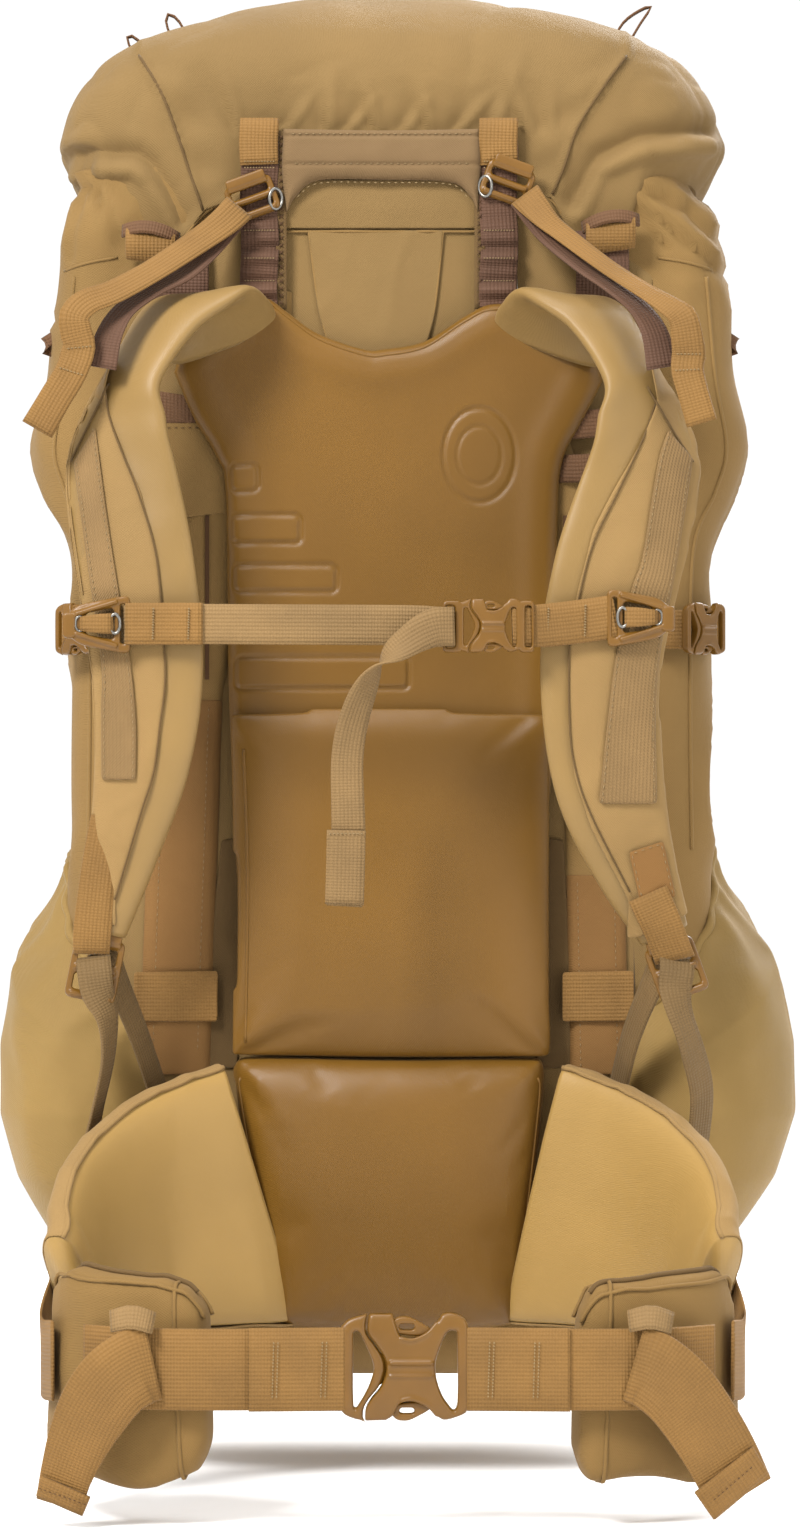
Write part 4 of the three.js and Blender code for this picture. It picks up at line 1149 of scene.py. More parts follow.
def yoke_shape(x, z, d):
    place = np.stack([x, 0 * x, z], 2)
    height = 0.5 * soft_noise(place, 90, 51) + 1.4 * bump(d, 16, 9) - 2.2 * np.clip((-274 - z) / 60, 0, 1)
    for box in SIZE_BARS:
        height = height + bar_groove(x, z, box) * np.clip(d / 6, 0, 1)
    # a plain pressed oval, high on the other side
    oval = np.hypot((x - 57) / 23, (z + 178) / 30)
    height = height - 1.3 * bump(oval, 1, 0.05) - 0.9 * bump(oval, 0.62, 0.04)
    return height


def build_yoke():
    top = [(-138, -125), (-130, -102), (-105, -84), (-81, -77), (-66, -86), (-46, -100), (-17, -110),
           (-4, -110), (22, -105), (48, -89), (67, -81), (100, -86), (130, -108), (136, -130)]
    left = [(-138, -125), (-133, -137), (-125, -155), (-111, -179), (-105, -205), (-103, -330), (-98, -445)]
    right = [(136, -130), (130, -142), (121, -159), (110, -182), (107, -220), (106, -335), (98, -445)]
    bottom = [(-98, -445), (0, -445), (98, -445)]
    yoke = quilted("yoke_pad", (top, bottom, left, right), -3.4, 7.6, 9, FACING, "yoke", "yoke",
                   (270, 190), yoke_shape)
    edge = [(-128, -106), (-104, -89), (-80, -81), (-65, -90), (-45, -104), (-16, -114), (-3, -114),
            (22, -109), (47, -93), (66, -85), (99, -90), (126, -110)]
    laid_piping("yoke_edge_top", Surface(yoke), edge, "yoke", FACING, 1.0, -0.2)


def crowned(x, z, middle_x, middle_z, half_x, half_z):
    """A smooth crown: 1 at the middle, 0 at the edges of a rectangle."""
    across = np.clip(1 - ((x - middle_x) / half_x) ** 2, 0, 1)
    along = np.clip(1 - ((z - middle_z) / half_z) ** 2, 0, 1)
    return (across * along) ** 0.6


def lower_pad_shape(x, z, d):
    return 3.5 * crowned(x, z, 3, -450, 102, 110) + 2.2 * bump(z, -546, 10) * np.clip(d / 14, 0, 1)


def lumbar_shape(x, z, d):
    crown = 12 * crowned(x, z, 3, -640, 95, 95)
    waves = 0.8 * np.sin((z + 0.12 * x) / 9.5) * np.clip((-640 - z) / 30, 0, 1) * np.clip(d / 20, 0, 1)
    return crown + waves


def build_back_pads():
    top, bottom = [(-105, -340), (2, -338), (106, -341)], [(-102, -562), (2, -566), (106, -564)]
    left, right = [(-105, -340), (-101, -450), (-102, -562)], [(106, -341), (105, -450), (106, -564)]
    pad = quilted("lower_pad", (top, bottom, left, right), -10.6, 11.0, 14, FACING, "pack",
                  "lower_back_pad", (130, 120), lower_pad_shape, puff=5)
    # its back rests flat, clear of the yoke that slides behind it
    for vertex in pad.data.vertices:
        vertex.co.y = min(vertex.co.y, -11.2 * MM)
    bead = [(-93, -366), (-90.5, -450), (-92, -552)]
    laid_piping("lower_pad_bead", Surface(pad), bead, "pack", FACING, 1.0, 0.0)
    top, bottom = [(-100, -560), (0, -563), (99, -561)], [(-73, -735), (4, -738), (81, -735)]
    left, right = [(-100, -560), (-99, -590), (-73, -735)], [(99, -561), (99, -592), (81, -735)]
    lumbar = quilted("lumbar", (top, bottom, left, right), -1.2, 22.0, 20, FACING, "pack",
                     "lumbar_pad", (110, 120), lumbar_shape, puff=6)
    surface = Surface(lumbar)
    edges = [(-95, -575), (-94.5, -592), (-71, -730)], [(94, -575), (94.5, -594), (79, -730)]
    for k, line in enumerate(edges):
        laid_piping(f"lumbar_edge_{k}", surface, line, "pack", FACING, 0.9, 0.0)


# ---------------------------------------------------------------- shoulder straps

# Middle of the strap, its width, how far its outer edge turns back and how far it tilts, from the yoke
# over the crest to the tip.
STRAPS = {
    "left": [(-106, -9, -106, 74, 0, 0.66), (-108, -22, -95, 70, 0, 0.42), (-117, -42, -83, 60, -0.15, 0.12),
             (-138, -62, -95, 50, -0.5, 0), (-160, -77, -132, 47, -0.7, 0), (-166, -81, -158, 60, -0.5, 0),
             (-168, -85, -192, 72, -0.3, 0), (-159, -92, -250, 75, -0.15, 0), (-151, -92, -315, 70, -0.1, 0),
             (-154, -88, -372, 60, -0.1, 0), (-166, -78, -428, 44, -0.1, 0), (-180, -70, -480, 30, 0, 0)],
    "right": [(100, -9, -108, 74, 0, -0.62), (102, -22, -97, 70, 0, -0.4), (110, -42, -84, 60, 0.15, -0.12),
              (131, -62, -95, 50, 0.5, 0), (151, -77, -132, 47, 0.7, 0), (157, -81, -158, 62, 0.5, 0),
              (158, -85, -195, 75, 0.3, 0), (141, -92, -255, 79, 0.15, 0), (131, -92, -315, 75, 0.1, 0),
              (136, -88, -385, 68, 0.1, 0), (153, -78, -440, 50, 0.1, 0), (172, -70, -482, 32, 0, 0)],
}
STRAP_THICK = 13
# The seam between the facing and the cloth cover, as (x, z) seen from the wearer's side.
COVER_SEAMS = {
    "left": [(-172, -118), (-178, -141), (-175, -159), (-166, -183), (-156, -208), (-145, -247), (-140, -305),
             (-140, -328), (-143, -351), (-147, -380), (-155, -405), (-172, -460)],
    "right": [(160, -118), (166, -150), (158, -172), (142, -206), (127, -237), (118, -270), (112, -300),
              (112, -351), (116, -380), (126, -408), (150, -455)],
}


def strap_stations(side):
    """Stations for sweep_rings along a shoulder strap."""
    return [(x, y, z, math.cos(turn), math.sin(turn), math.sin(tilt), width, STRAP_THICK)
            for x, y, z, width, turn, tilt in STRAPS[side]]


def build_strap(side, sign):
    """A shoulder strap's pad and its cloth cover."""
    rings = sweep_rings(strap_stations(side), 150, superellipse(40, 3.4, 2.3))
    # the foam bunches slightly along the inner edge of the crest
    place = rings.reshape(-1, 3)
    rings = (place + 0.9 * soft_noise(place, 24, 61 + sign)[:, None] * (0, 1, 0)).reshape(rings.shape)
    pad = tube_piece(f"shoulder_pad_{side}", rings, STRAP_FACING)
    dress(pad, "yoke", f"shoulder_strap_{side}")
    # the cover wraps the outer edge, from its seam round to the back
    centre = rings.mean(axis=1)
    seam = np.array(COVER_SEAMS[side])
    first = int(np.argmax((centre[:, 1] < -60) & (centre[:, 2] < -124)))
    cover_rows = []
    for ring, middle in zip(rings[first:-2], centre[first:-2]):
        seam_x = np.interp(-middle[2], -seam[:, 1], seam[:, 0])
        line = ring[ring[:, 1] <= middle[1]]
        line = line[np.argsort(sign * line[:, 0])]
        edge = [np.interp(sign * seam_x, sign * line[:, 0], line[:, k]) for k in (1, 2)]
        keep = line[sign * line[:, 0] > sign * seam_x + 0.6]
        rear = ring[ring[:, 1] > middle[1]]
        rear = rear[np.argsort(-sign * rear[:, 0])][:8]
        wrap = polyline(np.vstack([[(seam_x, *edge)], keep, rear]), 22)
        cover_rows.append(wrap + unit(wrap - middle))
    rows = np.array(cover_rows)
    rows[..., 1] -= 0.5
    rows = rows + 0.7 * (ridged(rows, 30, 63 + sign) - 0.2)[..., None] * (0, -1, 0)
    cover = sheet_piece(f"strap_cover_{side}", rows, STRAP_COVER, 1.3, 1.0)
    dress(cover, "yoke")
    return pad, cover


# The outer and inner edges of the webbing rail on each strap's cover, as (x, z) lines.
RAILS = {
    "left": ([(-198, -186), (-196, -200), (-189, -247), (-180, -310), (-180, -345), (-180, -385)],
             [(-184, -164), (-179, -200), (-172, -247), (-162, -307), (-158, -345), (-158, -385)]),
    "right": ([(174, -166), (167, -188), (157, -247), (151, -264), (141, -305), (135, -351), (130, -400)],
              [(190, -184), (183, -227), (178, -257), (169, -305), (166, -345), (167, -400)]),
}
# The cover's seam above each rail.
TOP_FLAPS = {"left": [(-176, -137), (-200, -186)], "right": [(161, -139), (176, -165), (190, -186)]}


def build_strap_details(side, pad, cover):
    """The webbing rail, its stitches, the seams and the plain patch."""
    surface = Surface(pad, cover)
    outer, inner = RAILS[side]
    if side == "right":
        patch = [(149, -430), (157, -465)], [(171, -423), (179, -458)]
        laid_strip("strap_patch", surface, *patch, "yoke", "strap_cloth", PATCH, 1.6, 1.4, True, 3.0)
        rims = [[(151, -431), (158.5, -463)], [(169.5, -425), (177, -457)], [(151, -431), (169.5, -425)],
                [(158.5, -463), (177, -457)]]
        laid_stitches("strap_patch_stitches", surface, rims, "yoke", lift=3.4)
    laid_strip(f"strap_rail_{side}", surface, outer, inner, "yoke", "webbing", WEBBING_PALE, 1.2, 1.5,
               soften=6)
    edges = [[(x + shift, z) for x, z in line] for line, shift in ((outer, 2.0), (inner, -2.0))]
    laid_stitches(f"rail_stitches_{side}", surface, edges, "yoke", lift=3.0)
    seam = [(x, z) for x, z in COVER_SEAMS[side] if z < -130]
    for name, line, radius, lift in (("seam", seam, 0.6, 0.9), ("flap_top", TOP_FLAPS[side], 0.7, 1.2)):
        laid_piping(f"strap_{name}_{side}", surface, line, "yoke", DARK_PANEL, radius, lift)


# ---------------------------------------------------------------- buckles

# A side-release buckle about its own middle, at the size of the hip belt's: (x, z) points, male half at -X.
MOUTH = [(-21, 33), (-22, 22.5), (-17, 15), (-12.4, 8), (-10.6, 1.5), (-11.8, -5), (-14.6, -11.5), (-20, -18),
         (-23.2, -24), (-23.5, -31)]
FEMALE_TOP = [(-7, 33), (-2.2, 19), (4, 18), (10.5, 19.6), (17, 24), (21, 30), (23, 33), (29, 33.5),
              (35.5, 30.5), (38, 26)]
FEMALE_LOW = [(38, -24), (35.5, -27), (25, -30.5), (20, -28.5), (14.5, -23.5), (6, -19.5), (-1, -19.8),
              (-3.5, -21.5), (-6.5, -27.5), (-11, -30.6)]
FEMALE_WINDOW = [(31.5, 23), (25.5, 22), (19.6, 8), (18.6, -1), (20.6, -11), (25, -20), (31.5, -22.5)]
MALE_LEFT = [(-24.5, -31), (-31, -29.5), (-37, -26), (-38.5, -18), (-38.5, 20), (-36, 27), (-31, 30.5),
             (-22, 33)]
MALE_WINDOW = [(-30.5, 22.5), (-27, 22), (-22, 12), (-18.5, 3), (-18.8, -3), (-22, -12), (-27.5, -21.5),
               (-30.5, -22)]
PRONG = [(-21, 20), (-10, 21.5), (-2, 20.5), (8, 19.5), (14.5, 21), (15.5, 24), (8, 28.5), (2, 31),
         (-4.5, 30.5), (-9, 27), (-21, 26)]
SMALL = 0.52  # the smaller buckles against the hip belt's


def eased(points, count, closed=False):
    """A smooth outline through (x, z) points."""
    if closed:
        points = points + points[:1]
    line = [tuple(p) for p in smooth_curve(points, count)]
    return line[:-1] if closed else line


def domed(points, lift=1.35):
    """Swells a buckle's body towards its middle line, and rolls its ends back."""
    x, y, z = points.T
    swell = 1 + 0.22 * np.cos(np.clip(z / 33, -1, 1) * math.pi / 2) * np.clip(1 - (x / 34) ** 2, 0, 1)
    drop = 2.2 * np.clip((abs(z) - 20) / 14, 0, 1) ** 2
    return np.stack([x, y * swell * lift / 1.35 + drop * np.sign(-y) * np.sign(y + 99) * 0.8, z], 1)


def female_half():
    outline = eased(MOUTH[::-1], 26) + eased(FEMALE_TOP, 26) + eased(FEMALE_LOW, 26)
    body = slab([outline, eased(FEMALE_WINDOW, 24, True)], -6.2, 6.2, 1.6)
    # two ribs down the middle of its face, and a lip at each edge
    ribs = [rod([(-9, -6.4, z), (17, -6.4, z)], radius) for z, radius in ((4, 1.5), (-4, 1.0))]
    lip = ((-2, -5.8, 18.6), (5, -6, 17.6), (14, -5.6, 21.5), (20, -4.8, 28))
    return [body, *ribs, *[rod([(x, y, side * z) for x, y, z in lip], 1.3) for side in (1, -1)]]


def male_half():
    outline = eased([(x - 1.3, z) for x, z in MOUTH], 26) + eased(MALE_LEFT, 22)
    body = slab([outline, eased(MALE_WINDOW, 24, True)], -5.0, 5.0, 1.5)
    bar = rod([(-34, -2.6, -24), (-34, -2.6, 24)], 3.0)
    tongue = slab([rectangle(17, 9, 3, 0, 0)], -2.2, 2.2, 0.6)
    return [body, bar, tongue]


def prong(side):
    outline = [(x, side * z) for x, z in eased(PRONG, 44, True)]
    slot = [(x, side * z) for x, z in rectangle(4.5, 1.7, 1.4, 1.5, 25)]
    grips = [rod([(x, -3.2, side * 29), (x, 3.2, side * 29)], 0.8) for x in (-2, 1, 4)]
    return [slab([outline, slot], -3.6, 3.6, 1.0), *grips]


def side_release(prefix, place, males, females, turn=(0, 0, 0), scale=SMALL, prongs=None, bars=False):
    """Both halves of a buckle. males, females and each of prongs say (body, nodes).

    bars adds a frame for webbing to each end.
    """
    voxel = 0.85 if scale > 0.8 else 1.3
    male_parts, female_parts = male_half(), female_half()
    if bars:
        male_parts.append(slab([rectangle(11, 31, 5, -45), rectangle(5.5, 25, 3, -47)], -5.5, 5.5, 1.8))
        female_parts.append(slab([rectangle(9, 31, 5, 44), rectangle(4, 25, 3, 46)], -5.5, 5.5, 1.8))
    mould(f"{prefix}_buckle_female_half", female_parts, *females, place, turn, scale, voxel, domed)
    mould(f"{prefix}_buckle_male_half", male_parts, *males, place, turn, scale, voxel, domed)
    for side, label in ((1, "upper"), (-1, "lower")):
        body, nodes = (prongs or {}).get(label, (males[0], ()))
        mould(f"{prefix}_prong_{label}", prong(side), body, nodes, place, turn, scale, voxel)


def ladder_lock(name, place, turn, half_x, half_z, body, nodes=()):
    """A flat frame with three bars that webbing threads over, and a lip to pull it loose."""
    gap = half_z * 0.25
    holes = [rectangle(half_x - 4, gap, 1.6, 0, s * half_z * 0.45) for s in (1, -1)]
    plate = slab([rectangle(half_x, half_z, 5), *holes], -2.2, 2.2, 0.9)
    bars = [rod([(-half_x + 3, -1.9, z), (half_x - 3, -1.9, z)], 2.0) for z in (half_z - 3, 0, -half_z + 3)]
    lip = slab([rectangle(half_x - 3, 3, 2, 0, half_z + 1)], -4.5, -0.5, 0.8)
    return mould(name, [plate, *bars, lip], body, nodes, place, turn, 1.0, 0.7)


def ring_piece(name, place, turn, radius_x, radius_z, wire, body):
    """A wire ring in XZ."""
    a = np.linspace(0, 2 * math.pi, 33)
    loop = np.stack([radius_x * np.cos(a), 0 * a, radius_z * np.sin(a)], 1)
    points, faces = rod(loop, wire, 8)
    piece = make_piece(name, placed(points, place, turn), faces, STEEL)
    return dress(piece, body)


def build_small_buckles():
    """The ladder-locks of the load lifters and the shoulder straps, and the lifters' rings."""
    for side, x, z, lean in (("left", -88, -14, -0.35), ("right", 75, -4, 0.35)):
        ladder_lock(f"lifter_lock_{side}", (x, -5.5, z), (0, lean, 0), 16, 12, "pack",
                    f"load_lifter_buckle_{side}")
    for side, x, z, lean in (("left", -73, -14, 0.5), ("right", 61, -6, -0.5)):
        ring_piece(f"lifter_ring_{side}", (x, -7, z), (0, 0, lean), 4.5, 6.5, 1.1, "pack")
    for side, x, turn, half_z in (("left", -185, (0, 0.2, 0.1), 20), ("right", 180, (0, -0.35, -0.1), 18)):
        ladder_lock(f"strap_lock_{side}", (x, -71, -504), turn, 16, half_z, "yoke",
                    f"strap_ladder_lock_{side}")


def build_side_straps():
    """The compression straps round the bag's sides; the upper pair has buckles."""
    for side, sign in SIDES:
        anchor = upright([(sign * x, y, -289) for x, y in ((140, 5), (160, 3), (178, -1), (192, -4))], 25)
        webbing(f"side_anchor_{side}", anchor, "pack")
        around = [bag_surface(-289, side_share(y, sign), 3.0)[0] for y in (36, 56, 84, 120, 160, 200, 232)]
        around = upright([(sign * 210, 15, -289), *around], 25)
        webbing(f"side_strap_web_{side}", around, "pack", f"side_strap_{side}")
        side_release(f"side_{side}", (sign * 201, 5, -289), ("pack", ()), ("pack", f"side_buckle_{side}"),
                     (0, 0, sign * 0.87))
        low = [bag_surface(-508, side_share(y, sign), 2.6)[0] for y in (16, 30, 60, 100, 140)]
        webbing(f"lower_side_strap_{side}", upright(low, 20), "pack")


def side_share(y, sign):
    """The share of the way round the bag where its side wall is at depth y."""
    row = bag_rows([-400], ROUND)[0]
    start = 0 if sign > 0 else ROUND // 2
    half = row[start:start + ROUND // 2]
    wall = np.where(abs(half[:, 0]) > 120, abs(half[:, 1] - y), 1e6)
    return (int(np.argmin(wall)) + start) / ROUND


# ---------------------------------------------------------------- load lifters and lower webbing

# Stations of webbing: place, the way its width runs, and its width.
LIFTERS = {
    "left": [(-98, -9, -22, 0.6, -0.3, -0.75, 20), (-112, -27, -44, 0.5, -0.6, -0.6, 18),
             (-128, -50, -65, 0.35, -0.8, -0.45, 16), (-148, -67, -77, 0.3, -0.8, -0.5, 16),
             (-166, -81, -91, 0.5, -0.7, -0.5, 17), (-175, -90, -107, 0.8, -0.5, -0.4, 19),
             (-180, -94, -128, 0.95, -0.2, -0.2, 20)],
    "right": [(86, -9, -14, 0.6, 0.3, 0.75, 20), (100, -27, -38, 0.5, 0.6, 0.6, 17),
              (120, -50, -60, 0.35, 0.8, 0.45, 15), (138, -67, -74, 0.3, 0.8, 0.5, 15),
              (155, -81, -89, 0.5, 0.7, 0.5, 16), (165, -90, -105, 0.8, 0.4, 0.4, 18),
              (170, -94, -128, 0.95, 0.1, 0.2, 20)],
}
LIFTER_TAILS = {
    "left": [(-96, -12, -20, 0.7, -0.1, -0.7, 21), (-106, -24, -31, 0.62, -0.3, -0.7, 20),
             (-120, -38, -43, 0.55, -0.45, -0.65, 19), (-147, -66, -64, 0.5, -0.55, -0.65, 18),
             (-172, -88, -80, 0.45, -0.5, -0.75, 18), (-188, -98, -87, 0.5, -0.3, -0.8, 18),
             (-196, -103, -96, 0.9, 0, -0.4, 19), (-195, -102, -107, 1, 0, 0.05, 20),
             (-193, -101, -116, 1, 0, 0.1, 20),
             (-198, -103, -131, 0.96, 0, -0.3, 20), (-208, -104, -148, 0.9, 0, -0.42, 20),
             (-219, -104, -167, 0.9, 0, -0.42, 21)],
    "right": [(86, -12, -12, 0.7, 0.1, 0.7, 21), (98, -26, -28, 0.6, 0.5, 0.6, 17),
              (112, -38, -41, 0.5, 0.65, 0.55, 15), (136, -64, -62, 0.45, 0.7, 0.5, 14),
              (157, -86, -78, 0.4, 0.7, 0.55, 14), (173, -97, -89, 0.5, 0.5, 0.6, 16),
              (182, -102, -97, 0.95, 0, 0.2, 18), (185, -102, -111, 1, 0, -0.1, 20),
              (186, -100, -120, 1, 0, 0, 21), (185, -102, -130, 1, 0, 0.05, 20),
              (189, -103, -146, 0.95, 0, -0.3, 19), (194, -102, -163, 0.92, 0, -0.35, 19)],
}


def across_line(station, half, out):
    """A line of stitches across a strap at one of its stations."""
    place = np.array(station[:3], float)
    way = unit(np.array(station[3:6], float))
    return [place - way * half, place + way * half] - np.array((0, out, 0)), TO_WEARER


def bend(near_body, far_body, start, end):
    """Two bodies and two places between them, in metres, as a tuple."""
    return near_body, far_body, tuple(MM * v for v in start[:3]), tuple(MM * v for v in end[:3])


def build_lifters():
    """Each load lifter runs from its lock to the strap's crest, with a loose tail over it."""
    for side, sign in SIDES:
        cross = bend("pack", "yoke", LIFTERS[side][0], LIFTERS[side][3])
        webbing(f"lifter_{side}", LIFTERS[side], cross, f"load_lifter_{side}", LADDER_WEB, thick=1.6)
        tail = LIFTER_TAILS[side]
        webbing(f"lifter_tail_{side}", tail, cross, thick=1.8)
        # the end is folded back on itself and stitched, which leaves a slim loop
        back = [(x + sign * 0.5, y + 3.2 * math.sin(k * 0.7), z, *rest)
                for k, (x, y, z, *rest) in enumerate(tail[-4:])]
        webbing(f"lifter_end_{side}", back, cross, thick=1.8)
        rows = [across_line(tail[k], 8, 1.6) for k in (-3, -4)]
        stitches(f"lifter_end_stitches_{side}", rows, cross, THREAD, pitch=2.2, length=1.9, width=0.9)


LOWER_WEBS = {
    "left": [(-181, -66, -492, 0.95, 0, 0.3, 20), (-172, -56, -512, 0.6, 0.7, 0.35, 20),
             (-159, -34, -547, 0.45, 0.8, 0.3, 20), (-148, -11, -584, 0.45, 0.8, 0.3, 20)],
    "right": [(176, -66, -492, 0.95, 0, -0.3, 20), (166, -56, -512, 0.6, -0.7, -0.35, 20),
              (153, -34, -547, 0.45, -0.8, -0.3, 20), (145, -11, -584, 0.45, -0.8, -0.3, 20)],
}
STRAP_TAILS = {
    "left": [(-186, -73, -496, 1, 0, 0.12, 22), (-185, -77, -504, 1, 0, 0.12, 22),
             (-183, -76, -518, 0.95, 0.2, 0.1, 21), (-177, -72, -534, 0.6, 0.7, 0.1, 19),
             (-177, -66, -560, 0.35, 0.9, 0, 18), (-184, -58, -592, 0.3, 0.9, 0, 18),
             (-190, -52, -618, 0.4, 0.9, 0, 18)],
    "right": [(180, -73, -496, 1, 0, -0.3, 22), (180, -77, -504, 1, 0, -0.2, 22),
              (179, -76, -514, 1, 0, -0.1, 21), (181, -76, -528, 0.8, 0.5, -0.1, 20),
              (189, -74, -552, 0.7, 0.65, 0, 20), (196, -62, -580, 0.7, 0.65, 0.1, 20),
              (195, -55, -606, 0.7, 0.65, 0.2, 20), (192, -50, -628, 0.7, 0.6, 0.3, 20)],
}


def build_lower_webbing():
    """The webbing between each strap's ladder-lock and the pack, its tail, and the webbing above the lock."""
    for side, _ in SIDES:
        route = LOWER_WEBS[side]
        cross = bend("yoke", "pack", route[1], route[3])
        webbing(f"lower_web_{side}", route, cross, f"lower_webbing_{side}", WEBBING_GREY)
        webbing(f"lower_tail_{side}", STRAP_TAILS[side], "yoke", material=WEBBING_GREY)
    left = [(-177, -83, -408, 1, 0, 0.1, 20), (-182, -82, -440, 1, 0, 0.15, 22),
            (-186, -79, -478, 1, 0, 0.15, 24), (-187, -74, -494, 1, 0, 0.15, 23)]
    right = [(161, -87.5, -456, 1, 0, -0.35, 26), (165, -87, -465, 1, 0, -0.35, 26),
             (170, -85, -476, 1, 0, -0.3, 26), (179, -75, -498, 1, 0, -0.3, 26)]
    webbing("strap_tip_web_left", left, "yoke")
    webbing("strap_tip_web_right", right, "yoke")


# ---------------------------------------------------------------- sternum strap


def sternum_slider(side, sign, x, z):
    """A frame that narrows outwards and grips the strap's rail, with a ringed hook of webbing across it."""
    outline = rounded([(-sign * 20, 18), (sign * 12, 12), (sign * 21, 5), (sign * 21, -5), (sign * 12, -13),
                       (-sign * 20, -19)], 5)
    hole = rounded([(-sign * 10, 10), (sign * 8, 6.5), (sign * 8, -6.5), (-sign * 10, -10)], 3)
    slot = rectangle(1.6, 12.5, 1.2, -sign * 15.4, 0)
    body = slab([outline, hole, slot], -2.6, 2.6, 1.0)
    rails = [rod([(-sign * 12, -3.2, s * 14), (sign * 14, -3.6, s * 6)], 1.5) for s in (1, -1)]
    clamp = slab([rectangle(4, 8, 3, sign * 18, -1)], -4.6, 4.0, 1.2)
    name = f"sternum_slider_{side}"
    mould(f"{name}_body", [body, *rails, clamp], "sternum", name, (x, -107, z), voxel=0.7)
    hook = [(x - sign * 9, -110, z, 0, 0, 1, 13), (x, -111.5, z, 0, 0, 1, 12),
            (x + sign * 11, -110, z, 0, 0, 1, 9)]
    webbing(f"{name}_hook", hook, "sternum", thick=2.6)
    ring_piece(f"{name}_ring", (x - sign * 10.5, -110.5, z), (0, 0, 0), 3.2, 6.0, 1.0, "sternum")
    ring_piece(f"{name}_ring_outer", (x + sign * 11.5, -110.0, z), (0, 0, 0), 2.6, 4.6, 0.9, "sternum")


def build_sternum():
    """The strap across the chest: two sliders, their webbings, the buckle and its hanging tail."""
    sternum_slider("left", -1, -181, -288)
    sternum_slider("right", 1, 155, -284)
    y = -107
    left = [(-165, y, -288), (-150, y - 0.5, -288), (-60, y - 2.5, -288.5), (10, y - 3.5, -289),
            (30, y - 4, -290), (42, y - 4, -290)]
    webbing("sternum_web_left", upright(left, 25), "sternum", "sternum_webbing_left", WEBBING_PALE)
    sewn = upright([(-164, y - 2.2, -288), (-140, y - 2.6, -288), (-116, y - 3.2, -288)], 26)
    webbing("sternum_overlay_left", sewn, "sternum", thick=2.4)
    right = [(76, y - 9, -290, 0, 0, 1, 25), (90, y - 7, -289.5, 0, 0, 1, 26),
             (98, y - 4, -289, 0, 0.1, 1, 27), (115, y - 1, -287, -0.06, 0, 1, 27),
             (136, y, -284, -0.06, 0, 1, 27), (141, y, -283, -0.06, 0, 1, 27)]
    webbing("sternum_web_right", right, "sternum", "sternum_webbing_right", thick=3.6)
    rows = [([(x, y - out, z - 10), (x + 0.5, y - out, z + 10)], TO_WEARER)
            for x, z, out in ((-147, -288, 4.6), (-125, -288, 5), (98, -288, 5.4), (121, -286, 3.2))]
    stitches("sternum_tacks", rows, "sternum", THREAD, pitch=1.6, length=1.4, width=1.6)
    side_release("sternum", (62, -116, -290), ("sternum_male", "sternum_buckle_male"),
                 ("sternum", "sternum_buckle_female"), bars=True)
    tail = [(40, -121, -290, 0, 0, 1, 24), (27, -124, -291, 0.08, 0, 1, 24),
            (12, -126, -299, 0.35, 0.2, 0.9, 20), (-6, -127, -314, 0.6, 0.45, 0.7, 19),
            (-19, -127, -338, 0.85, 0.4, 0.3, 20), (-26, -126, -370, 1, 0.15, 0.1, 20),
            (-25.5, -124, -418, 1, 0, 0, 21), (-28, -120, -463, 1, 0, 0, 22)]
    webbing("sternum_tail_web", tail, "sternum_male", "sternum_tail", WEBBING_PALE, 90)
    end = across_x([(-26.8, -126.5, -416), (-27.3, -124, -440), (-28, -121.8, -462)], 24)
    webbing("sternum_tail_end", end, "sternum_male", material=WEBBING_PALE, thick=2.4)
    row = [([(-38, -128.2, -418), (-16, -128.2, -418)], TO_WEARER)]
    stitches("sternum_tail_stitches", row, "sternum_male", THREAD, pitch=2.4, length=2.0, width=0.8)


# ---------------------------------------------------------------- stretch pockets


def pocket_mouth(side, share):
    """Height of a pocket's mouth, which slants down towards the wearer."""
    high = -434 if side == "left" else -422
    return np.interp(share, [0, 0.08, 0.28, 0.4, 1], [-545, -520, high - 8, high, high])


